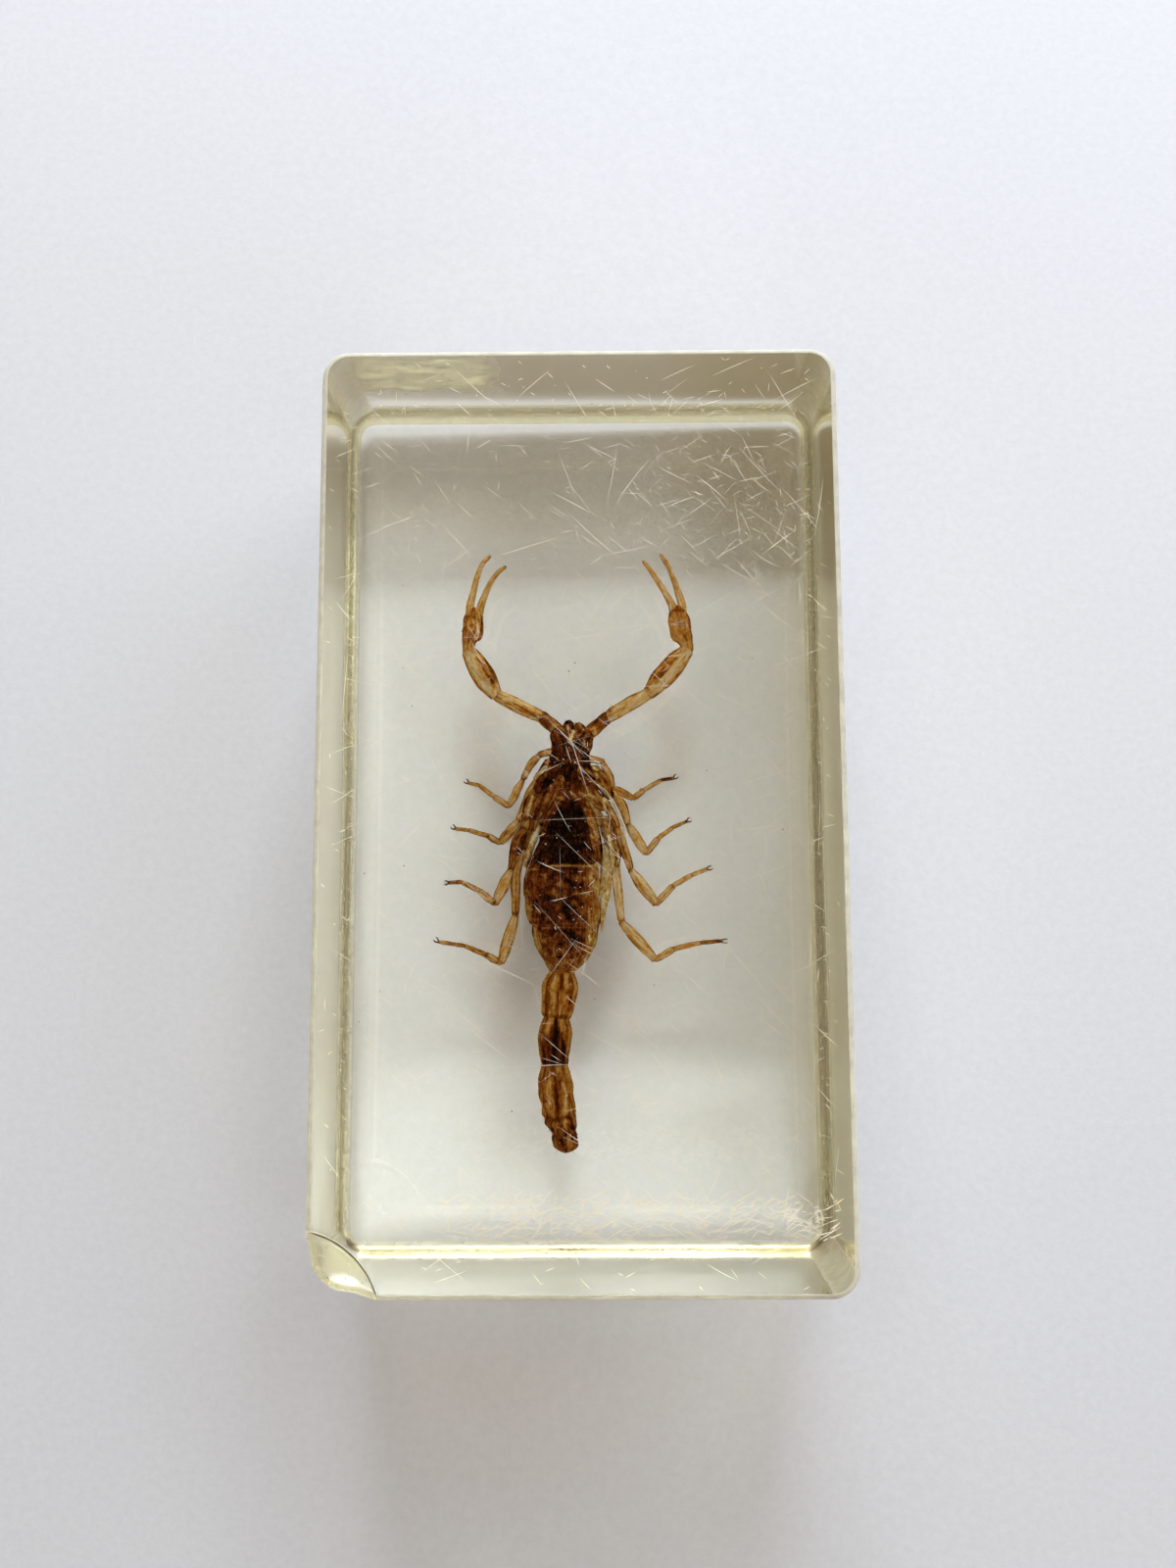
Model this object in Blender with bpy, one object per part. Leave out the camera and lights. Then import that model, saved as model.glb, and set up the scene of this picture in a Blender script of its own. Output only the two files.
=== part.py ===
"""A scorpion cast in a block of clear resin.

The block lies flat: +X runs across it, +Y runs along it towards the scorpion's claws, and +Z is up.
The origin is the middle of the underside. The scorpion lies belly up at half height, in a pocket
that follows its body and limbs, so the resin is made as an upper and a lower half that meet there.
All sizes below are millimetres. Left and right are the block's -X and +X sides.
"""

import math

import bmesh
import bpy
from mathutils import Vector

MM = 0.001

# ---- Driving dimensions of the block ----
BLOCK_LENGTH = 73.0
BLOCK_WIDTH = 41.0
BLOCK_HEIGHT = 20.0
CORNER_RADIUS = 2.2
TOP_ARRIS = 0.6
BOTTOM_ARRIS = 0.9
CORNER_STEPS = 6
ARRIS_STEPS = 3

# ---- Where the two pours of resin meet, and the room around the specimen ----
PARTING_HEIGHT = 10.0
GAP = 0.3
POCKET_CLEARANCE = 0.3
POCKET_SIDES = 6
CHAMBER_SIDES = 12
# The chamber takes the trunk and the thighs beside it; rings of (y, left x, right x, half depth).
CHAMBER_RINGS = (
    (8.20, -2.40, 1.40, 1.30),
    (6.20, -3.20, 1.95, 2.10),
    (4.60, -4.60, 2.60, 2.40),
    (2.00, -5.30, 3.90, 2.50),
    (-1.50, -6.00, 4.60, 2.60),
    (-5.00, -6.60, 4.70, 2.60),
    (-8.40, -6.30, 4.10, 2.50),
    (-10.50, -5.10, 2.60, 2.30),
    (-13.40, -3.40, 0.30, 1.70),
)

# ---- The chip broken off the upper corner at -X, -Y ----
CHIP_CENTRE = (-21.6, -38.2, 24.2)
CHIP_RADII = (8.2, 8.2, 7.4)
CHIP_SEGMENTS = 24
CHIP_RINGS = 12

# ---- Sides of the lofted tubes ----
TRUNK_SIDES = 20
TAIL_SIDES = 10
PALP_SIDES = 10
LEG_SIDES = 6
LUMP_SIDES = 8
CLAW_SIDES = 4

# ---- Trunk: rings from the head end to the root of the tail ----
# Each ring is (y, left edge x, right edge x, half depth). The plates of the belly overlap like
# tiles, so the rings on either side of a plate's rear edge lie close together and step inwards.
TRUNK_RINGS = (
    (6.75, -1.80, 0.65, 0.80),
    (6.30, -2.30, 1.05, 1.15),
    (5.40, -2.55, 0.95, 1.45),
    (4.70, -2.55, 0.65, 1.55),
    (3.50, -2.80, 0.95, 1.65),
    (2.20, -3.00, 1.40, 1.70),
    (0.80, -3.20, 1.45, 1.75),
    (-0.60, -3.35, 1.40, 1.80),
    (-1.95, -3.50, 1.35, 1.90),
    (-2.10, -3.50, 1.25, 1.75),
    (-3.30, -4.00, 1.50, 1.85),
    (-4.35, -4.55, 1.60, 1.95),
    (-4.50, -4.60, 1.50, 1.80),
    (-5.70, -4.85, 1.55, 1.85),
    (-6.75, -4.82, 1.60, 1.90),
    (-6.90, -4.75, 1.50, 1.75),
    (-8.10, -4.60, 1.55, 1.75),
    (-9.10, -4.40, 1.50, 1.75),
    (-9.25, -4.15, 1.40, 1.60),
    (-10.20, -4.05, 1.35, 1.50),
    (-11.30, -3.60, 0.95, 1.35),
    (-12.20, -2.95, 0.30, 1.15),
    (-12.70, -2.60, -0.50, 0.95),
)

# ---- Lumps grown onto the trunk ----
# Each is a run of (x, y, z, half width, half depth), with z measured from the parting plane.
CHELICERA_LEFT = (
    (-1.15, 5.90, -0.30, 0.45, 0.45),
    (-1.15, 6.70, -0.25, 0.56, 0.58),
    (-1.02, 7.25, -0.15, 0.46, 0.45),
    (-0.92, 7.62, -0.10, 0.18, 0.20),
)
CHELICERA_RIGHT = (
    (-0.05, 5.70, -0.30, 0.45, 0.45),
    (-0.02, 6.45, -0.25, 0.56, 0.58),
    (-0.22, 7.00, -0.15, 0.44, 0.45),
    (-0.42, 7.38, -0.10, 0.18, 0.20),
)
PALP_COXA_LEFT = (
    (-1.10, 4.40, 1.10, 0.45, 0.40),
    (-1.45, 5.50, 0.90, 0.72, 0.58),
    (-1.80, 6.40, 0.50, 0.74, 0.72),
    (-2.10, 6.92, 0.28, 0.52, 0.52),
)
PALP_COXA_RIGHT = (
    (-0.85, 4.40, 1.10, 0.45, 0.40),
    (-0.40, 5.30, 0.90, 0.70, 0.58),
    (0.28, 6.10, 0.50, 0.72, 0.72),
    (0.80, 6.60, 0.28, 0.52, 0.52),
)
BREASTPLATE = (
    (-1.02, 3.95, 1.30, 0.25, 0.30),
    (-1.02, 3.40, 1.42, 0.42, 0.34),
    (-1.02, 2.60, 1.50, 0.40, 0.30),
    (-1.02, 2.20, 1.48, 0.22, 0.26),
)
PECTEN_LEFT = (
    (-1.20, 1.55, 1.45, 0.30, 0.30),
    (-1.80, 0.75, 1.55, 0.38, 0.24),
    (-2.60, -0.45, 1.30, 0.36, 0.22),
    (-3.20, -1.70, 0.95, 0.18, 0.14),
)
PECTEN_RIGHT = (
    (-0.80, 1.55, 1.45, 0.30, 0.30),
    (-0.20, 0.75, 1.55, 0.38, 0.24),
    (0.50, -0.45, 1.30, 0.36, 0.22),
    (1.15, -1.70, 0.90, 0.18, 0.14),
)
MEMBRANE_RIGHT = (
    (1.35, -2.90, 0.20, 0.45, 0.40),
    (1.70, -4.20, 0.15, 0.70, 0.45),
    (1.65, -5.60, 0.10, 0.68, 0.40),
    (1.55, -7.20, 0.05, 0.52, 0.32),
    (1.35, -9.20, 0.00, 0.20, 0.15),
)
MEMBRANE_LEFT = (
    (-3.50, -1.00, 0.30, 0.22, 0.25),
    (-3.85, -2.20, 0.25, 0.38, 0.35),
    (-4.30, -3.40, 0.20, 0.36, 0.35),
    (-4.55, -4.60, 0.15, 0.22, 0.25),
)
# Leg coxae fan out from the breastplate; each runs from its inner to its outer end.
COXA_HALF_WIDTH = 0.46
COXA_HALF_DEPTH = 0.36
COXAE = {
    "coxa_left_1": ((-1.40, 4.25, 1.25), (-2.58, 4.72, 0.70)),
    "coxa_left_2": ((-1.40, 3.55, 1.35), (-2.82, 3.28, 0.85)),
    "coxa_left_3": ((-1.38, 2.90, 1.42), (-3.36, 0.02, 0.80)),
    "coxa_left_4": ((-1.30, 2.20, 1.45), (-3.62, -1.10, 0.30)),
    "coxa_right_1": ((-0.62, 4.25, 1.25), (0.75, 4.15, 0.70)),
    "coxa_right_2": ((-0.60, 3.50, 1.35), (1.86, 1.98, 0.70)),
    "coxa_right_3": ((-0.62, 2.85, 1.42), (2.05, 0.12, 0.78)),
    "coxa_right_4": ((-0.70, 2.20, 1.45), (1.74, -1.15, 0.20)),
}

# ---- Limbs: joint points from the trunk outwards, z measured from the parting plane ----
# Each leg runs coxa end, trochanter end, a bow in the femur, femur end, knee, tibia end,
# basitarsus end, claw root, claw tip.
LEG_JOINTS = {
    "leg_left_1": (
        (-2.95, 4.80, 0.65), (-3.31, 4.72, 0.50), (-4.10, 4.02, 0.10), (-4.84, 2.64, -0.20),
        (-5.99, 0.47, -0.45), (-7.26, 1.31, -0.10), (-8.41, 2.20, 0.15), (-9.32, 2.38, 0.30),
        (-9.60, 2.65, 0.25)),
    "leg_left_2": (
        (-3.20, 3.22, 0.80), (-3.62, 2.72, 0.65), (-4.25, 1.40, 0.30), (-5.20, -0.75, -0.15),
        (-6.68, -2.53, -0.45), (-7.65, -1.97, -0.15), (-9.30, -1.48, 0.15), (-10.37, -1.39, 0.30),
        (-10.68, -1.10, 0.20)),
    "leg_left_3": (
        (-3.75, -0.45, 0.80), (-4.46, -1.20, 0.80), (-5.35, -2.45, 0.60), (-5.80, -4.80, 0.35),
        (-7.10, -7.51, -0.30), (-8.36, -6.44, -0.05), (-9.83, -5.72, 0.20), (-10.89, -5.78, 0.30),
        (-11.25, -5.78, 0.20)),
    "leg_left_4": (
        (-4.28, -1.75, -0.35), (-4.75, -2.80, -0.55), (-5.40, -5.20, -0.80), (-5.45, -8.50, -0.60),
        (-6.61, -12.30, -0.60), (-7.84, -11.61, -0.25), (-9.55, -10.87, 0.05), (-11.67, -10.55, 0.20),
        (-12.00, -10.25, 0.10)),
    "leg_right_1": (
        (1.15, 4.20, 0.65), (1.65, 4.10, 0.50), (2.25, 3.00, 0.25), (2.58, 1.95, 0.00),
        (4.23, 1.07, -0.30), (5.13, 1.73, -0.05), (6.55, 2.56, 0.20), (7.63, 2.68, 0.30),
        (7.90, 2.95, 0.25)),
    "leg_right_2": (
        (2.25, 1.72, 0.55), (2.72, 1.32, 0.40), (3.39, 0.37, 0.20), (3.82, -1.12, 0.00),
        (5.28, -3.48, -0.40), (6.25, -2.22, -0.15), (7.49, -1.32, 0.10), (8.64, -0.85, 0.25),
        (8.98, -0.66, 0.15)),
    "leg_right_3": (
        (2.42, -0.20, 0.85), (2.88, -1.15, 0.90), (3.40, -2.87, 0.70), (3.99, -4.83, 0.40),
        (6.06, -7.59, -0.25), (7.43, -6.11, 0.00), (8.98, -5.23, 0.20), (10.22, -4.78, 0.30),
        (10.66, -4.60, 0.20)),
    "leg_right_4": (
        (2.12, -1.70, -0.30), (2.48, -2.70, -0.45), (2.85, -5.61, -0.50), (3.22, -9.05, -0.50),
        (5.94, -12.09, -0.55), (7.45, -11.20, -0.25), (9.64, -10.72, 0.05), (11.34, -10.57, 0.20),
        (11.82, -10.60, 0.10)),
}
FEMUR_BOW = 2
# Half widths of trochanter, femur, femur past its bow, patella, tibia, basitarsus, telotarsus.
LEG_HALF_WIDTHS = {
    1: (0.30, 0.32, 0.32, 0.32, 0.25, 0.20, 0.15),
    2: (0.34, 0.36, 0.36, 0.40, 0.26, 0.20, 0.16),
    3: (0.34, 0.36, 0.36, 0.44, 0.28, 0.22, 0.17),
    4: (0.34, 0.38, 0.38, 0.44, 0.28, 0.22, 0.17),
}
LEG_DEPTH_RATIO = 0.85
CLAW_SPREAD = 0.16
CLAW_HALF_WIDTH = 0.07

# Each pedipalp runs coxa end, trochanter end, femur end, patella end.
PALP_JOINTS = {
    "pedipalp_left": (
        (-2.50, 7.24, 0.15), (-3.20, 7.80, 0.10), (-7.05, 9.72, 0.00), (-9.38, 13.50, 0.00)),
    "pedipalp_right": (
        (1.20, 6.96, 0.15), (2.05, 7.72, 0.10), (5.60, 9.80, 0.00), (8.90, 13.50, 0.00)),
}
PALP_HALF_WIDTHS = (0.58, 0.58, 0.90)
PALP_DEPTH_RATIO = 0.85
# Palms: a narrow wrist, then a box that bulges inwards; (x, y, z, half width, half depth).
PALMS = {
    "pedipalp_left": (
        (-9.35, 13.66, 0.00, 0.48, 0.42),
        (-9.28, 14.40, 0.00, 0.60, 0.52),
        (-9.06, 14.95, 0.00, 0.84, 0.70),
        (-8.98, 15.85, 0.00, 0.82, 0.74),
        (-8.92, 16.65, 0.00, 0.66, 0.58),
    ),
    "pedipalp_right": (
        (8.86, 13.68, 0.00, 0.48, 0.42),
        (8.66, 14.35, 0.00, 0.66, 0.55),
        (8.34, 14.90, 0.00, 0.92, 0.72),
        (8.18, 15.85, 0.00, 0.86, 0.76),
        (8.08, 16.75, 0.00, 0.66, 0.58),
    ),
}
# Fingers: centre points from root to tip, with the half width at each.
FINGERS = {
    "pedipalp_left": (
        ((-9.20, 16.00, 0.30), (-9.25, 17.10, 0.10), (-9.02, 18.22, 0.05), (-8.74, 19.50, 0.05),
         (-8.27, 20.78, 0.10), (-7.50, 21.55, 0.15)),
        ((-8.60, 15.90, -0.20), (-8.42, 16.94, -0.05), (-8.11, 17.90, -0.05), (-7.64, 19.02, -0.05),
         (-7.01, 19.98, 0.00), (-6.22, 20.66, 0.05)),
    ),
    "pedipalp_right": (
        ((8.35, 16.00, 0.30), (8.50, 16.98, 0.10), (8.13, 18.44, 0.05), (7.75, 19.56, 0.05),
         (7.28, 20.67, 0.10), (6.64, 21.60, 0.15)),
        ((7.90, 16.10, -0.20), (7.64, 17.16, -0.05), (7.25, 17.95, -0.05), (6.57, 19.08, -0.05),
         (5.79, 20.30, 0.00), (5.20, 21.05, 0.05)),
    ),
}
FINGER_HALF_WIDTHS = (0.32, 0.29, 0.25, 0.21, 0.19, 0.12)

# ---- Tail: five segments and the sting, curled down and back under itself ----
# Joint points, then for each segment the half width and half depth at its front, middle and rear.
TAIL_JOINTS = (
    (-1.62, -13.05, 0.00), (-2.10, -16.50, 0.00), (-2.32, -20.35, -0.05), (-1.98, -24.40, -0.75),
    (-1.38, -26.10, -3.45), (-1.90, -21.50, -4.70),
)
TAIL_SEGMENTS = (
    ((0.95, 0.75), (1.44, 1.05), (1.18, 1.05)),
    ((1.02, 0.90), (1.32, 1.08), (1.05, 1.08)),
    ((1.05, 0.92), (1.36, 1.10), (1.28, 1.05)),
    ((1.18, 0.90), (1.15, 1.02), (0.85, 0.85)),
    ((0.80, 0.70), (0.95, 0.88), (0.72, 0.72)),
)
TAIL_PLACES = (0.10, 0.45, 0.90)
TAIL_PINCH = 0.80
STING = (
    (-1.90, -21.75, -4.70, 0.40, 0.38),
    (-1.93, -21.10, -4.62, 0.62, 0.60),
    (-1.97, -20.30, -4.55, 0.78, 0.78),
    (-2.00, -19.50, -4.45, 0.58, 0.58),
    (-1.98, -18.90, -4.25, 0.28, 0.28),
    (-1.85, -18.00, -3.95, 0.18, 0.18),
    (-1.70, -17.10, -3.40, 0.06, 0.06),
)

# ---- Shape of one limb segment: (place along it, share of its full width) ----
SHORT_SEGMENT = ((0.15, 0.95), (0.86, 0.85))
BOW_FRONT = ((0.12, 0.80), (0.60, 1.00))
BOW_REAR = ((0.45, 1.00), (0.90, 0.85))
SLENDER_SEGMENT = ((0.08, 0.80), (0.50, 1.00), (0.92, 0.86))
FULL_SEGMENT = ((0.10, 0.66), (0.38, 1.00), (0.68, 0.97), (0.92, 0.70))
LEG_SHAPES = (
    SHORT_SEGMENT, BOW_FRONT, BOW_REAR, FULL_SEGMENT, SLENDER_SEGMENT, SHORT_SEGMENT, SHORT_SEGMENT)
LIMB_PINCH = 0.68


# ---------------------------------------------------------------- scene and materials

def clear_scene():
    """Remove whatever objects the file opened with."""
    for thing in list(bpy.data.objects):
        bpy.data.objects.remove(thing, do_unlink=True)


def finish_material(name, colour, roughness, transmission=0.0, ior=1.5):
    """One Principled material for a part."""
    material = bpy.data.materials.new(name)
    material.use_nodes = True
    shader = material.node_tree.nodes["Principled BSDF"]
    shader.inputs["Base Color"].default_value = (*colour, 1.0)
    shader.inputs["Roughness"].default_value = roughness
    shader.inputs["Metallic"].default_value = 0.0
    shader.inputs["IOR"].default_value = ior
    shader.inputs["Transmission Weight"].default_value = transmission
    return material


def add_object(name, mesh, material, parent, smooth_angle=50.0):
    """Link a mesh as a named object under a parent empty."""
    part = bpy.data.objects.new(name, mesh)
    bpy.context.scene.collection.objects.link(part)
    part.parent = parent
    if material is not None:
        mesh.materials.append(material)
    mesh.shade_smooth()
    mesh.set_sharp_from_angle(angle=math.radians(smooth_angle))
    return part


def add_empty(name, height):
    """An empty that carries parts, at a height in millimetres."""
    empty = bpy.data.objects.new(name, None)
    empty.location = (0.0, 0.0, height * MM)
    bpy.context.scene.collection.objects.link(empty)
    return empty


# ---------------------------------------------------------------- lofted tubes

def mesh_from_rings(name, rings):
    """A closed mesh through rings of equally many points, in millimetres."""
    mesh = bpy.data.meshes.new(name)
    shell = bmesh.new()
    loops = [[shell.verts.new(point * MM) for point in ring] for ring in rings]
    count = len(loops[0])
    for near, far in zip(loops, loops[1:]):
        for index in range(count):
            after = (index + 1) % count
            shell.faces.new((near[index], near[after], far[after], far[index]))
    shell.faces.new(list(reversed(loops[0])))
    shell.faces.new(loops[-1])
    bmesh.ops.recalc_face_normals(shell, faces=shell.faces)
    shell.to_mesh(mesh)
    shell.free()
    return mesh


def ring_points(centre, side, rise, half_width, half_depth, sides):
    """An oval ring of points, with a flat rather than a corner on each flank."""
    points = []
    for index in range(sides):
        angle = 2.0 * math.pi * (index + 0.5) / sides
        across = side * (half_width * math.cos(angle))
        upward = rise * (half_depth * math.sin(angle))
        points.append(centre + across + upward)
    return points


def sweep(stations, sides):
    """Rings through stations of (centre, direction, half width, half depth).

    The first ring lies level. Each later one is turned as little as the path allows.
    """
    rings = []
    side = None
    for centre, direction, half_width, half_depth in stations:
        if side is None:
            side = direction.cross(Vector((0.0, 0.0, 1.0))).normalized()
        side = (side - direction * side.dot(direction)).normalized()
        rise = side.cross(direction).normalized()
        rings.append(ring_points(centre, side, rise, half_width, half_depth, sides))
    return rings


def stations_through(run):
    """Stations for a smooth run of (x, y, z, half width, half depth)."""
    centres = [Vector(row[:3]) for row in run]
    stations = []
    for index, row in enumerate(run):
        before = centres[max(index - 1, 0)]
        after = centres[min(index + 1, len(run) - 1)]
        stations.append((centres[index], (after - before).normalized(), row[3], row[4]))
    return stations


def bend_allowance(directions, index, half_width):
    """How far from a joint a ring must stay so that it doesn't cross the joint's ring."""
    if index <= 0 or index >= len(directions):
        return 0.0
    turn = directions[index - 1].angle(directions[index])
    return 1.1 * half_width * math.tan(turn / 2.0)


def jointed_stations(joints, profiles, pinches):
    """Stations for a limb of straight segments that meet in pinched joints.

    profiles holds, for each segment, rows of (place along it, half width, half depth).
    pinches holds the half width and half depth of each joint, both ends of the limb included.
    """
    points = [Vector(joint) for joint in joints]
    directions = [(end - start).normalized() for start, end in zip(points, points[1:])]
    stations = [(points[0], directions[0], *pinches[0])]
    for index, direction in enumerate(directions):
        start, end = points[index], points[index + 1]
        length = (end - start).length
        last_place = 0.0
        for place, half_width, half_depth in profiles[index]:
            low = bend_allowance(directions, index, half_width) / length
            high = 1.0 - bend_allowance(directions, index + 1, half_width) / length
            place = min(max(place, low), high)
            if place > last_place + 0.02:
                stations.append((start.lerp(end, place), direction, half_width, half_depth))
                last_place = place
        if index + 1 < len(directions):
            joint_direction = (direction + directions[index + 1]).normalized()
        else:
            joint_direction = direction
        stations.append((end, joint_direction, *pinches[index + 1]))
    return stations


def pocket_stations(joints, half_widths, half_depths):
    """Stations for the room around a limb: one mitred ring at each joint."""
    points = [Vector(joint) for joint in joints]
    directions = [(end - start).normalized() for start, end in zip(points, points[1:])]
    points[0] = points[0] - directions[0] * POCKET_CLEARANCE * 2.0
    points[-1] = points[-1] + directions[-1] * POCKET_CLEARANCE * 1.5
    flat_share = math.cos(math.pi / POCKET_SIDES)
    stations = []
    for index, point in enumerate(points):
        before = directions[max(index - 1, 0)]
        after = directions[min(index, len(directions) - 1)]
        mitre = 1.0 / math.cos(min(before.angle(after) / 2.0, math.radians(40.0)))
        near = max(index - 1, 0)
        far = min(index, len(half_widths) - 1)
        half_width = max(half_widths[near], half_widths[far]) + POCKET_CLEARANCE
        half_depth = max(half_depths[near], half_depths[far]) + POCKET_CLEARANCE
        direction = (before + after).normalized()
        stations.append((point, direction, half_width * mitre / flat_share, half_depth / flat_share))
    return stations


# ---------------------------------------------------------------- booleans

def hide_tool(tool):
    """Mark an object as a tool that shapes others and isn't a part."""
    tool.hide_render = True
    tool.display_type = "WIRE"


def add_tool(name, mesh, parent, group):
    """A shaping tool, linked into a group of its own."""
    tool = bpy.data.objects.new(name, mesh)
    group.objects.link(tool)
    tool.parent = parent
    hide_tool(tool)
    return tool


def add_group(name):
    """A collection for the tools of one boolean."""
    group = bpy.data.collections.new(name)
    bpy.context.scene.collection.children.link(group)
    return group


def combine(part, group, operation):
    """Fuse a group of tools onto a part, or cut them from it."""
    modifier = part.modifiers.new(group.name, "BOOLEAN")
    modifier.operation = operation
    modifier.operand_type = "COLLECTION"
    modifier.collection = group
    modifier.solver = "EXACT"


# ---------------------------------------------------------------- the block

def block_outline(inset):
    """The block's rounded rectangle in plan, drawn in by an inset."""
    half_x = BLOCK_WIDTH / 2.0 - inset
    half_y = BLOCK_LENGTH / 2.0 - inset
    radius = CORNER_RADIUS - inset
    corners = ((1, 1, 0.0), (-1, 1, 90.0), (-1, -1, 180.0), (1, -1, 270.0))
    outline = []
    for sign_x, sign_y, start in corners:
        for step in range(CORNER_STEPS + 1):
            angle = math.radians(start + 90.0 * step / CORNER_STEPS)
            x = sign_x * (half_x - radius) + radius * math.cos(angle)
            y = sign_y * (half_y - radius) + radius * math.sin(angle)
            outline.append((x, y))
    return outline


def arris_levels(radius):
    """Steps of (inset, drop) around a quarter round, from the face to the wall."""
    levels = []
    for step in range(ARRIS_STEPS + 1):
        angle = math.radians(90.0 * step / ARRIS_STEPS)
        levels.append((radius * (1.0 - math.sin(angle)), radius * (1.0 - math.cos(angle))))
    return levels


def block_half(name, upper):
    """The solid of one half of the block, without its pocket."""
    if upper:
        parting = PARTING_HEIGHT + GAP / 2.0
        levels = [(inset, BLOCK_HEIGHT - drop) for inset, drop in arris_levels(TOP_ARRIS)]
    else:
        parting = PARTING_HEIGHT - GAP / 2.0
        levels = [(inset, drop) for inset, drop in arris_levels(BOTTOM_ARRIS)]
    levels.append((0.0, parting))
    rings = [[Vector((x, y, height)) for x, y in block_outline(inset)] for inset, height in levels]
    return mesh_from_rings(name, rings)


def chip_mesh():
    """A flattened ball that scoops the chip out of the corner."""
    mesh = bpy.data.meshes.new("chip_tool")
    shell = bmesh.new()
    bmesh.ops.create_uvsphere(
        shell, u_segments=CHIP_SEGMENTS, v_segments=CHIP_RINGS, radius=1.0)
    for vertex in shell.verts:
        place = [vertex.co[axis] * CHIP_RADII[axis] + CHIP_CENTRE[axis] for axis in range(3)]
        vertex.co = Vector(place) * MM
    bmesh.ops.recalc_face_normals(shell, faces=shell.faces)
    shell.to_mesh(mesh)
    shell.free()
    return mesh


# ---------------------------------------------------------------- the scorpion

def body_stations(rings):
    """Stations down the body, from rings of (y, left edge x, right edge x, half depth)."""
    direction = Vector((0.0, -1.0, 0.0))
    stations = []
    for y, left, right, half_depth in rings:
        centre = Vector(((left + right) / 2.0, y, 0.0))
        stations.append((centre, direction, (right - left) / 2.0, half_depth))
    return stations


def coxa_run(ends):
    """A leg's fused root, as a run from its inner to its outer end."""
    inner, outer = Vector(ends[0]), Vector(ends[1])
    shape = ((0.0, 0.75), (0.35, 1.0), (0.8, 1.0), (1.0, 0.75))
    run = []
    for place, share in shape:
        centre = inner.lerp(outer, place)
        run.append((*centre, COXA_HALF_WIDTH * share, COXA_HALF_DEPTH * share))
    return run


def add_lump(name, run, sides, parent, group):
    """A lofted lump that is fused onto a part."""
    rings = sweep(stations_through(run), sides)
    return add_tool(name, mesh_from_rings(name, rings), parent, group)


def build_trunk(material, parent):
    """Head, breast and belly in one, with jaws, coxae and side membranes grown on."""
    rings = sweep(body_stations(TRUNK_RINGS), TRUNK_SIDES)
    trunk = add_object("scorpion_trunk", mesh_from_rings("scorpion_trunk", rings), material, parent)
    group = add_group("trunk_lumps")
    lumps = {
        "chelicera_left": CHELICERA_LEFT,
        "chelicera_right": CHELICERA_RIGHT,
        "palp_coxa_left": PALP_COXA_LEFT,
        "palp_coxa_right": PALP_COXA_RIGHT,
        "breastplate": BREASTPLATE,
        "pecten_left": PECTEN_LEFT,
        "pecten_right": PECTEN_RIGHT,
        "membrane_left": MEMBRANE_LEFT,
        "membrane_right": MEMBRANE_RIGHT,
    }
    for name, run in lumps.items():
        add_lump(name, run, LUMP_SIDES, parent, group)
    for name, ends in COXAE.items():
        add_lump(name, coxa_run(ends), LUMP_SIDES, parent, group)
    combine(trunk, group, "UNION")


def build_tail(material, parent):
    """The tail's five segments and its sting."""
    profiles = []
    for sizes in TAIL_SEGMENTS:
        profiles.append([(place, *size) for place, size in zip(TAIL_PLACES, sizes)])
    pinches = []
    for index in range(len(TAIL_JOINTS)):
        front = TAIL_SEGMENTS[min(index, len(TAIL_SEGMENTS) - 1)][0]
        pinches.append((front[0] * TAIL_PINCH, front[1] * TAIL_PINCH))
    rings = sweep(jointed_stations(TAIL_JOINTS, profiles, pinches), TAIL_SIDES)
    tail = add_object("scorpion_tail", mesh_from_rings("scorpion_tail", rings), material, parent, 35.0)
    group = add_group("tail_sting")
    add_lump("sting", STING, TAIL_SIDES, parent, group)
    combine(tail, group, "UNION")


def limb_profiles(half_widths, depth_ratio, shapes):
    """Rows of rings for each segment of a limb, from its half width and its shape."""
    profiles = []
    for half_width, shape in zip(half_widths, shapes):
        rows = [(place, half_width * share, half_width * share * depth_ratio)
                for place, share in shape]
        profiles.append(rows)
    return profiles


def limb_pinches(half_widths, depth_ratio):
    """Sizes of a limb's joints, each a share of the thinner neighbour."""
    pinches = []
    for index in range(len(half_widths) + 1):
        near = half_widths[max(index - 1, 0)]
        far = half_widths[min(index, len(half_widths) - 1)]
        half_width = min(near, far) * LIMB_PINCH
        pinches.append((half_width, half_width * depth_ratio))
    return pinches


def build_pedipalp(name, material, parent):
    """A claw arm: trochanter, femur, patella, wrist, palm and two fingers."""
    shapes = (SHORT_SEGMENT, SLENDER_SEGMENT, FULL_SEGMENT)
    profiles = limb_profiles(PALP_HALF_WIDTHS, PALP_DEPTH_RATIO, shapes)
    pinches = limb_pinches(PALP_HALF_WIDTHS, PALP_DEPTH_RATIO)
    arm_stations = jointed_stations(PALP_JOINTS[name], profiles, pinches)[:-1]
    rings = sweep(arm_stations + stations_through(PALMS[name]), PALP_SIDES)
    arm = add_object(name, mesh_from_rings(name, rings), material, parent)
    group = add_group(name + "_fingers")
    for number, centres in enumerate(FINGERS[name]):
        run = [(*centre, size, size) for centre, size in zip(centres, FINGER_HALF_WIDTHS)]
        add_lump(f"{name}_finger_{number}", run, LUMP_SIDES, parent, group)
    combine(arm, group, "UNION")


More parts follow.
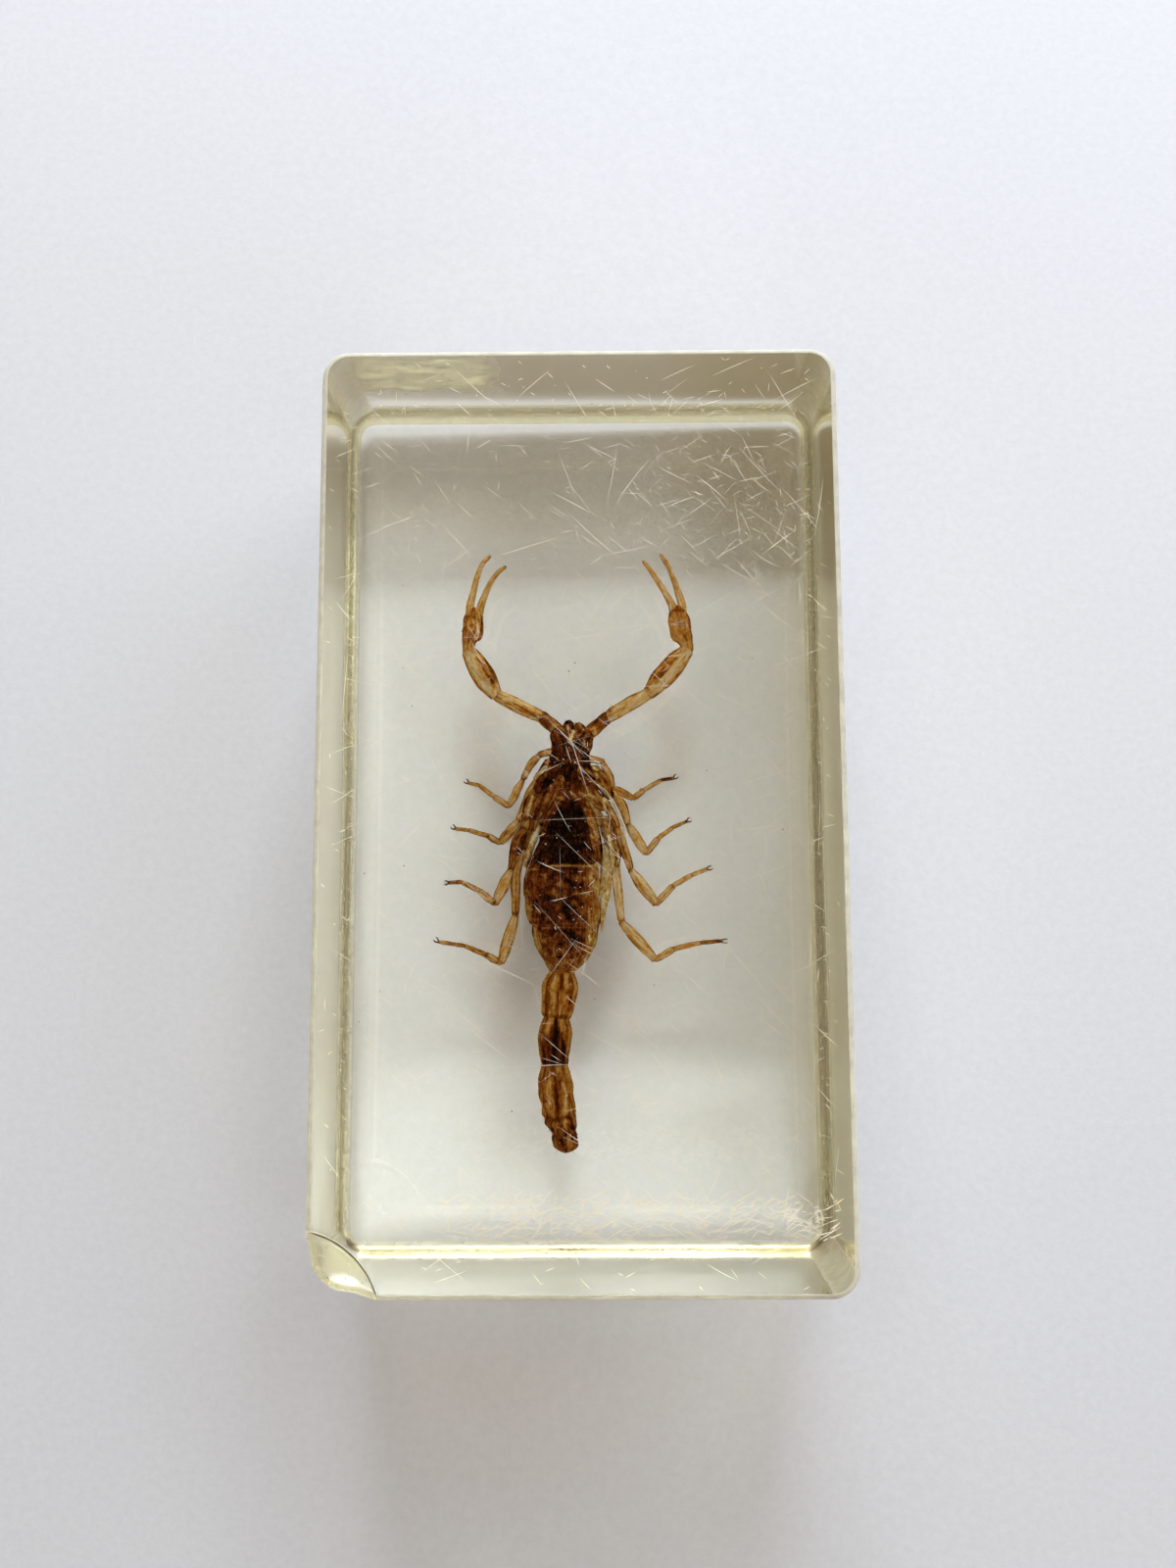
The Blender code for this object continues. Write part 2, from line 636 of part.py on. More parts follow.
def claw_runs(root, tip):
    """The two hooked claws at the end of a leg."""
    root, tip = Vector(root), Vector(tip)
    ahead = (tip - root).normalized()
    aside = ahead.cross(Vector((0.0, 0.0, 1.0))).normalized()
    runs = []
    for sign in (-1.0, 1.0):
        inner = root - ahead * 0.10
        middle = root.lerp(tip, 0.5) + aside * (sign * CLAW_SPREAD)
        end = tip + aside * (sign * CLAW_SPREAD * 0.8)
        runs.append((
            (*inner, CLAW_HALF_WIDTH, CLAW_HALF_WIDTH),
            (*middle, CLAW_HALF_WIDTH * 0.8, CLAW_HALF_WIDTH * 0.8),
            (*end, CLAW_HALF_WIDTH * 0.3, CLAW_HALF_WIDTH * 0.3),
        ))
    return runs


def leg_number(name):
    """Which pair a leg belongs to, counted from the head."""
    return int(name[-1])


def build_leg(name, material, parent):
    """A walking leg from its trochanter to its pair of claws."""
    joints = LEG_JOINTS[name]
    half_widths = LEG_HALF_WIDTHS[leg_number(name)]
    profiles = limb_profiles(half_widths, LEG_DEPTH_RATIO, LEG_SHAPES)
    pinches = limb_pinches(half_widths, LEG_DEPTH_RATIO)
    bow_width = half_widths[FEMUR_BOW]
    pinches[FEMUR_BOW] = (bow_width, bow_width * LEG_DEPTH_RATIO)
    rings = sweep(jointed_stations(joints[:-1], profiles, pinches), LEG_SIDES)
    leg = add_object(name, mesh_from_rings(name, rings), material, parent)
    group = add_group(name + "_claws")
    for number, run in enumerate(claw_runs(joints[-2], joints[-1])):
        add_lump(f"{name}_claw_{number}", run, CLAW_SIDES, parent, group)
    combine(leg, group, "UNION")


# ---------------------------------------------------------------- the pocket

def add_pocket_tube(name, stations, sides, parent, group):
    """Room for one limb or body, as a tool that is cut from the resin."""
    mesh = mesh_from_rings(name, sweep(stations, sides))
    return add_tool(name, mesh, parent, group)


def tail_room():
    """Stations of the room around the tail and its sting."""
    half_widths = [max(width for width, depth in sizes) for sizes in TAIL_SEGMENTS]
    half_depths = [max(depth for width, depth in sizes) for sizes in TAIL_SEGMENTS]
    half_widths.append(max(half_width for x, y, z, half_width, half_depth in STING))
    half_depths.append(max(half_depth for x, y, z, half_width, half_depth in STING))
    sting_tip = STING[-1][:3]
    return pocket_stations((*TAIL_JOINTS, sting_tip), half_widths, half_depths)


def palp_room(name):
    """Stations of the room around a claw arm, with both fingers in one tube."""
    outer_finger, inner_finger = FINGERS[name]
    between_fingers = Vector(outer_finger[2]).lerp(Vector(inner_finger[2]), 0.5)
    between_tips = Vector(outer_finger[-1]).lerp(Vector(inner_finger[-1]), 0.5)
    x, y, z, palm_half_width, palm_half_depth = PALMS[name][2]
    path = (*PALP_JOINTS[name], (x, y, z), PALMS[name][-1][:3], between_fingers, between_tips)
    half_widths = (*PALP_HALF_WIDTHS, *[palm_half_width] * 4)
    half_depths = [half_width * PALP_DEPTH_RATIO for half_width in half_widths]
    return pocket_stations(path, half_widths, half_depths)


def leg_room(name):
    """Stations of the room around a leg, straight past the root of its claws."""
    joints = LEG_JOINTS[name]
    half_widths = LEG_HALF_WIDTHS[leg_number(name)]
    half_depths = [half_width * LEG_DEPTH_RATIO for half_width in half_widths]
    return pocket_stations((*joints[:-2], joints[-1]), half_widths, half_depths)


def add_pocket(parent):
    """Room for the whole scorpion, with clearance all round it."""
    group = add_group("pocket")
    add_pocket_tube("pocket_chamber", body_stations(CHAMBER_RINGS), CHAMBER_SIDES, parent, group)
    add_pocket_tube("pocket_tail", tail_room(), POCKET_SIDES, parent, group)
    for name in PALP_JOINTS:
        add_pocket_tube("pocket_" + name, palp_room(name), POCKET_SIDES, parent, group)
    for name in LEG_JOINTS:
        add_pocket_tube("pocket_" + name, leg_room(name), POCKET_SIDES, parent, group)
    return group


def build_block(material, base, specimen):
    """The two halves of resin, with the pocket cut from both and the chip from the upper."""
    pocket = add_pocket(specimen)
    for name, upper in (("resin_lower", False), ("resin_upper", True)):
        half = add_object(name, block_half(name, upper), material, base, 30.0)
        combine(half, pocket, "DIFFERENCE")
        if upper:
            chips = add_group("chip")
            add_tool("chip_tool", chip_mesh(), base, chips)
            combine(half, chips, "DIFFERENCE")


# ---------------------------------------------------------------- the whole part

def build():
    """Make every piece of the block and the scorpion in it."""
    clear_scene()
    base = add_empty("block_base", 0.0)
    specimen = add_empty("specimen", PARTING_HEIGHT)
    specimen.parent = base
    resin = finish_material("clear_resin", (0.93, 0.91, 0.78), 0.05, transmission=1.0, ior=1.55)
    brown = finish_material("brown_cuticle", (0.12, 0.05, 0.02), 0.4)
    amber = finish_material("amber_cuticle", (0.45, 0.22, 0.06), 0.35)
    gold = finish_material("golden_cuticle", (0.55, 0.34, 0.13), 0.35)
    build_trunk(brown, specimen)
    build_tail(amber, specimen)
    for name in PALP_JOINTS:
        build_pedipalp(name, gold, specimen)
    for name in LEG_JOINTS:
        build_leg(name, gold, specimen)
    build_block(resin, base, specimen)


build()
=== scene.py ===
"""Looks of a scorpion cast in a block of clear resin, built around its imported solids.

The block lies flat: +X runs across it, +Y runs along it towards the scorpion's claws, and +Z is up.
The origin is the middle of the underside. Sizes are in millimetres and turned to metres by MM.
"""

import math
import random

import bmesh
import bpy
import numpy as np
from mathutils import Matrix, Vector, noise


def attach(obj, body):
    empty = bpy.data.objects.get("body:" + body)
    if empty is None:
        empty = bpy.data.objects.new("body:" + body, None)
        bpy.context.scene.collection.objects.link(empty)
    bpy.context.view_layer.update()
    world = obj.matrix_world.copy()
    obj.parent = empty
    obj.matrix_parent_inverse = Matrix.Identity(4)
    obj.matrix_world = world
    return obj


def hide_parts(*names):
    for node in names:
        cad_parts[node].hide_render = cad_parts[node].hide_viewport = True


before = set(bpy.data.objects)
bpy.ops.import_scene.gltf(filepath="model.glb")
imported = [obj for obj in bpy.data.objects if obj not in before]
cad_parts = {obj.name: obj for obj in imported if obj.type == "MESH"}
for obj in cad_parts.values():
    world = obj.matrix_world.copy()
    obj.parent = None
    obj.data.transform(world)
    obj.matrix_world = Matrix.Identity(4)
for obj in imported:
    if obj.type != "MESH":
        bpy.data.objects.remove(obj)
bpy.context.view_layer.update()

# ---------------------------------------------------------------- the trunk
# Head, breast and belly, lying belly up: dried brown cuticle in plates that overlap like roof tiles, soft
# pale membrane at the sides, and the legs' fused roots fanned round a small breastplate. It was set in the
# first pour of resin, so nothing holds it but the block.

# Metres in a millimetre, and how high the specimen's middle lies above the block's underside.
MM = 0.001
SPECIMEN_HEIGHT = 10.0
# Rings of (y, left edge x, right edge x, half depth), from the head end to the root of the tail.
TRUNK_RINGS = (
    (6.75, -1.80, 0.65, 0.80), (6.30, -2.30, 1.05, 1.15), (5.40, -2.55, 0.95, 1.45),
    (4.70, -2.55, 0.65, 1.55), (3.50, -2.80, 0.95, 1.65), (2.20, -3.00, 1.40, 1.70),
    (0.80, -3.20, 1.45, 1.75), (-0.60, -3.35, 1.40, 1.80), (-1.95, -3.50, 1.35, 1.90),
    (-2.10, -3.50, 1.25, 1.75), (-3.30, -4.00, 1.50, 1.85), (-4.35, -4.55, 1.60, 1.95),
    (-4.50, -4.60, 1.50, 1.80), (-5.70, -4.85, 1.55, 1.85), (-6.75, -4.82, 1.60, 1.90),
    (-6.90, -4.75, 1.50, 1.75), (-8.10, -4.60, 1.55, 1.75), (-9.10, -4.40, 1.50, 1.75),
    (-9.25, -4.15, 1.40, 1.60), (-10.20, -4.05, 1.35, 1.50), (-11.30, -3.62, 0.95, 1.35),
    (-12.20, -3.05, 0.36, 1.15), (-12.75, -2.75, -0.25, 0.98), (-13.05, -2.60, -0.55, 0.90))
PLATE_EDGES = (-2.02, -4.43, -6.83, -9.18)
# The pale seam behind the second plate, as its y, left end and right end.
SEAM = (-4.47, -2.9, 0.7)
TRUNK_SIDES = 176
TRUNK_STEPS = 14
LUMP_SIDES = 32

# Tone runs from 0, near black, through red brown and amber, to 1, the pale cream of bare membrane.
BELLY_TONES = (
    (7.6, 0.42), (6.2, 0.38), (5.0, 0.30), (3.6, 0.16), (2.2, 0.18), (1.5, 0.34), (0.8, 0.16), (0.0, 0.03),
    (-4.2, 0.04), (-4.7, 0.20), (-6.5, 0.24), (-7.0, 0.17), (-8.8, 0.22), (-9.4, 0.24), (-11.0, 0.30),
    (-12.8, 0.42))

# Marks on the belly side: (x and y of one end, x and y of the other, half width, change of tone).
BELLY_MARKS = (
    # head
    (-1.59, 7.42, -1.03, 7.26, 0.10, -0.24), (-1.03, 7.50, -0.47, 7.34, 0.08, -0.24),
    (-1.11, 7.10, -1.11, 6.85, 0.12, 0.60), (-0.63, 6.61, -0.80, 5.96, 0.15, 0.50),
    (0.25, 5.79, 0.32, 5.47, 0.08, 0.50), (-1.68, 6.86, -1.27, 6.53, 0.10, 0.30),
    (-2.08, 7.43, -1.92, 7.18, 0.17, 0.35), (-0.23, 7.09, 0.81, 6.03, 0.20, 0.08),
    (-1.44, 5.64, 0.32, 4.91, 0.28, -0.12), (0.40, 4.99, 0.81, 5.63, 0.16, 0.10),
    # breast
    (0.96, 3.93, 2.30, 1.92, 0.32, 0.26), (1.04, 3.53, 1.27, 3.37, 0.09, 0.40),
    (1.27, 3.05, 1.27, 2.97, 0.11, 0.40), (1.27, 2.65, 1.27, 2.41, 0.08, 0.35),
    (1.60, 4.01, 2.39, 2.56, 0.10, 0.22), (-2.72, 4.44, -2.88, 2.91, 0.16, 0.24),
    (-0.73, 1.29, 1.18, 1.20, 0.21, 0.24), (-2.01, 1.06, -1.45, 0.98, 0.16, 0.34),
    (0.54, 0.65, 1.50, 1.20, 0.24, 0.12), (0.78, 0.17, 1.48, -1.83, 0.52, 0.20),
    (1.01, -1.27, 1.24, -2.39, 0.20, 0.18), (1.82, 0.80, 2.13, -0.24, 0.21, 0.30),
    (2.05, 0.40, 2.13, -0.16, 0.08, -0.30), (2.20, -2.07, 2.11, -3.26, 0.12, 0.26),
    (2.83, -2.08, 3.06, -4.22, 0.13, 0.28), (2.51, -2.23, 2.50, -3.66, 0.10, -0.20),
    (-4.00, 1.23, -4.32, -0.29, 0.13, 0.30), (-3.36, -0.37, -3.84, -1.25, 0.13, 0.28),
    (-3.44, -1.41, -4.16, -2.44, 0.22, 0.42), (-3.68, 0.83, -4.08, -0.13, 0.25, 0.10),
    (-2.65, -0.06, -2.97, -1.17, 0.08, 0.14),
    # belly
    (-2.97, -3.87, -2.81, -4.43, 0.10, 0.26), (-2.81, -4.47, 0.68, -4.52, 0.08, 0.22),
    (0.68, -4.52, 1.39, -4.21, 0.10, 0.30), (-4.40, -4.73, -3.37, -4.74, 0.06, 0.26),
    (-3.60, -5.21, -2.81, -5.14, 0.07, 0.22), (-3.29, -5.61, -1.55, -6.09, 0.40, 0.12),
    (-0.28, -5.39, 0.51, -5.55, 0.17, 0.18), (0.75, -5.23, 1.06, -6.26, 0.21, 0.22),
    (-0.68, -6.72, 0.59, -6.73, 0.07, 0.28), (-2.26, -6.48, -1.63, -6.88, 0.16, 0.18),
    (-1.31, -6.01, -0.99, -5.54, 0.17, -0.12), (0.12, -5.70, -0.12, -6.33, 0.16, -0.12),
    (-1.95, -7.66, -1.48, -9.00, 0.21, 0.18), (-1.31, -7.82, -1.00, -8.53, 0.32, -0.14),
    (-0.68, -7.28, -0.13, -7.44, 0.08, 0.16), (-0.37, -7.67, 0.03, -8.30, 0.09, 0.14),
    (0.58, -7.91, 0.58, -8.77, 0.16, 0.16), (-4.47, -7.26, -4.16, -8.75, 0.25, 0.22),
    (-3.29, -9.46, 0.34, -9.40, 0.07, 0.20), (-2.97, -9.69, -1.32, -9.70, 0.13, -0.12),
    (-1.08, -9.94, -0.53, -10.33, 0.32, -0.18), (-3.84, -9.53, -3.53, -10.94, 0.21, 0.26),
    (-3.37, -9.85, -3.21, -10.55, 0.08, 0.14), (-2.19, -10.09, -2.35, -11.73, 0.07, 0.14),
    (-2.50, -10.24, -2.35, -10.32, 0.12, 0.24), (0.17, -10.65, 0.49, -9.95, 0.25, 0.10),
    (-1.48, -11.34, -0.78, -12.51, 0.36, 0.10), (0.57, -10.10, 0.65, -10.49, 0.06, 0.45),)


def smooth_rows(rows, steps, span=3):
    """Rows filled in by curves that don't overshoot; their spacing is measured over the first columns."""
    rows = np.array(rows, float)
    gaps = np.maximum(np.linalg.norm(np.diff(rows[:, :span], axis=0), axis=1), 1e-6)[:, None]
    slopes = np.diff(rows, axis=0) / gaps
    before, after = slopes[:-1], slopes[1:]
    turning = before * after <= 0.0
    middle = np.where(turning, 0.0, 2.0 * before * after / np.where(turning, 1.0, before + after))
    tangents = np.vstack([slopes[:1], middle, slopes[-1:]])
    filled = []
    for index, gap in enumerate(gaps):
        for step in range(steps):
            t = step / steps
            rise = t * t * (3.0 - 2.0 * t)
            near = rows[index] + (rows[index + 1] - rows[index]) * rise
            bend = tangents[index] * t * (1.0 - t) ** 2 - tangents[index + 1] * t * t * (1.0 - t)
            filled.append(near + bend * gap)
    filled.append(rows[-1])
    return np.array(filled)


def fade_in(past, reach):
    """0 up to a line and 1 from a reach beyond it, for points that lie so far past the line."""
    return np.clip(past / reach, 0.0, 1.0)


def ridge(gap, width):
    """1 on a line, fading softly to 0 on both sides of it."""
    return np.exp(-(gap / width) ** 2)


def rounded_end(gap, reach, least):
    """Shares that close a tube roundly over a reach, for rings that lie so far from its end."""
    return np.sqrt(np.maximum(1.0 - (1.0 - fade_in(gap, reach)) ** 2, least))


def unit(vector):
    """The vector drawn to a length of 1."""
    return vector / max(np.linalg.norm(vector), 1e-6)


def new_shell():
    """An empty list of what one piece's mesh is made from."""
    return {"points": [], "faces": [], "tones": [], "grains": [], "count": 0, "runs": 0}


def add_points(shell, points, faces, tones, grains):
    """Put a closed body into a piece's mesh, with its tone and its grain at each point."""
    start = shell["count"]
    shell["points"].append(points)
    shell["faces"].extend([tuple(start + corner for corner in face) for face in faces])
    shell["tones"].append(tones)
    shell["grains"].append(grains)
    shell["count"] = start + len(points)


def frames_along(centres, square):
    """Sides and rises down a path. The first side is level and the rest turn with the path.

    A square path keeps its rings facing +Y however its centres shift.
    """
    ahead = np.gradient(centres, axis=0)
    if square:
        ahead[:] = (0.0, -1.0, 0.0)
    ahead /= np.linalg.norm(ahead, axis=1)[:, None]
    side = np.cross(ahead[0], (0.0, 0.0, 1.0))
    sides = []
    for direction in ahead:
        side = unit(side - direction * side.dot(direction))
        sides.append(side)
    sides = np.array(sides)
    return sides, np.cross(sides, ahead)


# How far the grain of one tube is shifted from that of the last, so that no two match.
GRAIN_SHIFT = 7.3


def add_tube(shell, centres, half_widths, half_depths, sides, tone, relief=None, square=False):
    """A closed tube down a path. tone and relief are worked out from place along, angle round and points.

    Angle 0 is the tube's own side, a quarter turn is up. relief is a share of the radius at each point.
    """
    centres = np.array(centres, float)
    side, rise = frames_along(centres, square)
    steps = np.linalg.norm(np.diff(centres, axis=0), axis=1)
    along = np.concatenate([[0.0], np.cumsum(steps)])[:, None]
    place = along / along[-1]
    angle = (2.0 * math.pi * (np.arange(sides) + 0.5) / sides)[None, :]
    across = np.cos(angle)[..., None] * side[:, None, :] * np.array(half_widths)[:, None, None]
    upward = np.sin(angle)[..., None] * rise[:, None, :] * np.array(half_depths)[:, None, None]
    spread = across + upward
    if relief is not None:
        spread = spread * (1.0 + relief(place, angle))[..., None]
    rings = centres[:, None, :] + spread
    count = len(centres)
    tones = np.broadcast_to(tone(place, angle, rings), (count, sides))
    shell["runs"] += 1
    round_run = angle * float(np.mean(half_widths))
    grains = np.stack(np.broadcast_arrays(along, round_run, float(shell["runs"]) * GRAIN_SHIFT), axis=-1)
    points = np.vstack([rings.reshape(-1, 3), centres[:1], centres[-1:]])
    faces = []
    for ring in range(count - 1):
        for index in range(sides):
            after = (index + 1) % sides
            near, far = ring * sides, (ring + 1) * sides
            faces.append((near + index, far + index, far + after, near + after))
    first, last = count * sides, count * sides + 1
    for index in range(sides):
        after = (index + 1) % sides
        faces.append((first, index, after))
        faces.append((last, (count - 1) * sides + after, (count - 1) * sides + index))
    flat_tones = np.concatenate([tones.ravel(), [tones[0].mean(), tones[-1].mean()]])
    flat_grains = np.vstack([grains.reshape(-1, 3), grains[0, 0], grains[-1, 0]])
    add_points(shell, points, faces, flat_tones, flat_grains)
    return rings


def marked(tone, marks):
    """A tone with streaks added on the upper side, each with ragged edges that fade."""
    def with_marks(place, angle, points):
        x, y = points[..., 0], points[..., 1]
        value = tone(place, angle, points) + 0.0 * x
        above = np.clip(np.sin(angle) / 0.15 + 0.4, 0.0, 1.0)
        ragged = 1.0 + 0.25 * np.sin(9.0 * x + 13.0 * y) + 0.2 * np.sin(23.0 * x - 17.0 * y)
        for x0, y0, x1, y1, width, change in marks:
            run_x, run_y = x1 - x0, y1 - y0
            share = np.clip(((x - x0) * run_x + (y - y0) * run_y) / (run_x ** 2 + run_y ** 2), 0.0, 1.0)
            gap = np.hypot(x - x0 - share * run_x, y - y0 - share * run_y)
            value = value + change * ridge(gap * ragged, width) * above
        return value
    return with_marks


# The ranges of a streak's angle, sway, turns, phase, width, change of tone, start and length.
STREAK_RANGES = ((0.0, 6.283), (0.05, 0.35), (2.0, 7.0), (0.0, 6.283), (0.10, 0.26), (-1.0, 0.5), (-0.2, 0.5),
                 (0.3, 1.0))
STREAK_FADE = 0.12


def streaked(tone, seed, number, strength=0.16):
    """A tone with thin streaks that wander down a limb, most of them darker than it and some paler."""
    dice = random.Random(seed)
    streaks = [[dice.uniform(low, high) for low, high in STREAK_RANGES] for _ in range(number)]

    def with_streaks(place, angle, points):
        value = tone(place, angle, points) + 0.0 * points[..., 0]
        for centre, sway, turns, phase, width, change, start, length in streaks:
            middle = centre + sway * np.sin(place * turns + phase)
            gap = np.abs((angle - middle + math.pi) % (2.0 * math.pi) - math.pi)
            run = fade_in(place - start, STREAK_FADE) * fade_in(start + length - place, STREAK_FADE)
            value = value + strength * change * ridge(gap, width) * run
        return value
    return with_streaks


def shrivelled(seed, depth, relief=None, folds=14.0):
    """A relief of shallow random folds and pits, as in cuticle that dried before it was cast."""
    dice = random.Random(seed)
    waves = [(dice.uniform(-1.0, 1.0) * folds, dice.randint(1, 7), dice.uniform(0.0, 6.283),
              dice.uniform(0.4, 1.0)) for _ in range(9)]

    def shape(place, angle):
        swell = 0.0 * place * angle if relief is None else relief(place, angle)
        for turns, round_turns, phase, share in waves:
            swell = swell + depth * share * 0.4 * np.sin(place * turns + angle * round_turns + phase)
        return swell
    return shape


def flat_tone(value):
    """The same tone all over a tube."""
    return lambda place, angle, points: value


def add_lump(shell, rows, sides, tone, steps, relief=None):
    """A rounded lump through rows of (x, y, z, half width, half depth)."""
    rows = smooth_rows(rows, steps)
    lengths = np.concatenate([[0.0], np.cumsum(np.linalg.norm(np.diff(rows[:, :3], axis=0), axis=1))])
    near, far = (max(row[3], 0.05) for row in (rows[0], rows[-1]))
    rounding = rounded_end(lengths, near, 0.02) * rounded_end(lengths[-1] - lengths, far, 0.02)
    return add_tube(shell, rows[:, :3], rows[:, 3] * rounding, rows[:, 4] * rounding, sides, tone, relief)


HAIR_TONE = 0.35
HAIR_LEAN = 0.9


def add_hairs(shell, rings, number, length, width, seed):
    """Three-sided bristles that stand off a tube, leaning towards its far end."""
    dice = random.Random(seed)
    count, sides = rings.shape[:2]
    for _ in range(number):
        ring = dice.randint(2, count - 4)
        index = dice.randrange(sides)
        root = rings[ring, index]
        outward = unit(root - rings[ring].mean(axis=0))
        forward = unit(rings[ring + 1, index] - rings[ring, index])
        heading = unit(outward + forward * HAIR_LEAN * dice.uniform(0.6, 1.4))
        aside = unit(np.cross(heading, (0.31, 0.57, 0.76)))
        upright = np.cross(heading, aside)
        base = root - outward * width
        thick = width / 2.0
        tip = root + heading * length * dice.uniform(0.6, 1.2)
        corners = [base + aside * thick, base - aside * thick * 0.5 + upright * thick * 0.87,
                   base - aside * thick * 0.5 - upright * thick * 0.87, tip]
        faces = [(0, 2, 1), (0, 1, 3), (1, 2, 3), (2, 0, 3)]
        add_points(shell, np.array(corners), faces, np.full(4, HAIR_TONE), np.array(corners))


def finish_piece(shell, name, material):
    """Make the piece's object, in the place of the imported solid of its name."""
    points = np.vstack(shell["points"])
    points[:, 2] += SPECIMEN_HEIGHT
    mesh = bpy.data.meshes.new(name + "_dressed")
    mesh.from_pydata((points * MM).tolist(), [], shell["faces"])
    tone = mesh.attributes.new("tone", "FLOAT", "POINT")
    tone.data.foreach_set("value", np.concatenate(shell["tones"]).astype(np.float32))
    grain = mesh.attributes.new("grain", "FLOAT_VECTOR", "POINT")
    grain.data.foreach_set("vector", np.vstack(shell["grains"]).astype(np.float32).ravel())
    mesh.shade_smooth()
    piece = bpy.data.objects.new(name + "_dressed", mesh)
    bpy.context.scene.collection.objects.link(piece)
    mesh.materials.append(material)
    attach(piece, "root")
    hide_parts(name)


def linear(hex_colour):
    """An sRGB hex colour as linear red, green, blue and alpha."""
    channels = [int(hex_colour[start:start + 2], 16) / 255.0 for start in (0, 2, 4)]
    curve = [c / 12.92 if c <= 0.04045 else ((c + 0.055) / 1.055) ** 2.4 for c in channels]
    return (*curve, 1.0)


def add_node(tree, kind, settings=None, values=None, links=None):
    """A node with its settings, its constant inputs and the sockets that feed it."""
    node = tree.nodes.new(kind)
    for name, value in (settings or {}).items():
        setattr(node, name, value)
    for name, value in (values or {}).items():
        node.inputs[name].default_value = value
    for name, source in (links or {}).items():
        tree.links.new(source, node.inputs[name])
    return node


def new_material(name):
    """An empty material, with its node tree and output."""
    material = bpy.data.materials.new(name)
    material.use_nodes = True
    tree = material.node_tree
    tree.nodes.clear()
    return material, tree, tree.nodes.new("ShaderNodeOutputMaterial")


# The cuticle's patterns, in cells to a millimetre: streaks 0.9 mm long and 0.14 mm wide, mottles of 0.4 mm,
# the dots of its pores 0.2 mm apart, drawn coarser than they are, and grit of 0.07 mm.
STREAK_CELLS = (1.1, 7.0, 1.0)
MOTTLE_CELLS = 2.6
DOT_CELLS = 5.2
GRIT_CELLS = 14.0
# How much darker a dot is than the skin round it, and how deep the grit is.
DOT_CHANGE = 0.20
GRIT_DEPTH = 0.02
# The index of cuticle against the resin that it is set in, which is nearly its own.
CUTICLE_INDEX = 1.02


def dried_cuticle(name, stops, see_through, streak, mottle):
    """Cuticle that was cleared by the resin: amber where thin, brown where thick, streaked along its length.

    Light passes some way into it, so part of it is plain transmission. Its surface hardly bends or mirrors
    light, because the resin touches it all over.
    """
    material, tree, output = new_material(name)
    tone = add_node(tree, "ShaderNodeAttribute", {"attribute_name": "tone"})
    grain = add_node(tree, "ShaderNodeAttribute", {"attribute_name": "grain"})
    place = add_node(tree, "ShaderNodeNewGeometry")
    stretched = add_node(tree, "ShaderNodeVectorMath", {"operation": "MULTIPLY"},
                         {1: STREAK_CELLS}, {0: grain.outputs["Vector"]})
    streaks = add_node(tree, "ShaderNodeTexNoise", {}, {"Scale": 1.0, "Detail": 3.0, "Roughness": 0.6},
                       {"Vector": stretched.outputs["Vector"]})
    mottles = add_node(tree, "ShaderNodeTexNoise", {}, {
        "Scale": MOTTLE_CELLS / MM, "Detail": 5.0, "Roughness": 0.7}, {"Vector": place.outputs["Position"]})
    dots = add_node(tree, "ShaderNodeTexVoronoi", {}, {"Scale": DOT_CELLS / MM},
                    {"Vector": place.outputs["Position"]})
    dotted = add_node(tree, "ShaderNodeMapRange", {}, {
        "From Min": 0.16, "From Max": 0.26, "To Min": 0.0, "To Max": 1.0},
        {"Value": dots.outputs["Distance"]})
    shifts = []
    for noise_node, share in ((streaks, streak), (mottles, mottle)):
        shifts.append(add_node(tree, "ShaderNodeMapRange", {}, {
            "From Min": 0.30, "From Max": 0.70, "To Min": -share / 2.0, "To Max": share / 2.0},
            {"Value": noise_node.outputs["Fac"]}))
    both = add_node(tree, "ShaderNodeMath", {"operation": "ADD"}, {},
                    {0: shifts[0].outputs["Result"], 1: shifts[1].outputs["Result"]})
    spots = add_node(tree, "ShaderNodeMath", {"operation": "MULTIPLY_ADD"}, {1: DOT_CHANGE, 2: -DOT_CHANGE},
                     {0: dotted.outputs["Result"]})
    spotted = add_node(tree, "ShaderNodeMath", {"operation": "ADD"}, {},
                       {0: both.outputs[0], 1: spots.outputs[0]})
    total = add_node(tree, "ShaderNodeMath", {"operation": "ADD", "use_clamp": True}, {},
                     {0: tone.outputs["Fac"], 1: spotted.outputs[0]})
    ramp = add_node(tree, "ShaderNodeValToRGB", {}, {}, {"Fac": total.outputs[0]})
    elements = ramp.color_ramp.elements
    elements[0].position, elements[0].color = stops[0][0], linear(stops[0][1])
    elements[1].position, elements[1].color = stops[-1][0], linear(stops[-1][1])
    for position, colour in stops[1:-1]:
        elements.new(position).color = linear(colour)
    grit = add_node(tree, "ShaderNodeTexNoise", {}, {"Scale": GRIT_CELLS / MM, "Detail": 2.0},
                    {"Vector": place.outputs["Position"]})
    bump = add_node(tree, "ShaderNodeBump", {}, {"Strength": 0.5, "Distance": GRIT_DEPTH * MM},
                    {"Height": grit.outputs["Fac"]})
    rough = add_node(tree, "ShaderNodeMapRange", {}, {"To Min": 0.32, "To Max": 0.55},
                     {"Value": mottles.outputs["Fac"]})
    skin = add_node(tree, "ShaderNodeBsdfPrincipled", {}, {
        "IOR": CUTICLE_INDEX, "Transmission Weight": see_through}, {
        "Base Color": ramp.outputs["Color"], "Roughness": rough.outputs["Result"],
        "Normal": bump.outputs["Normal"]})
    tree.links.new(skin.outputs["BSDF"], output.inputs["Surface"])
    return material


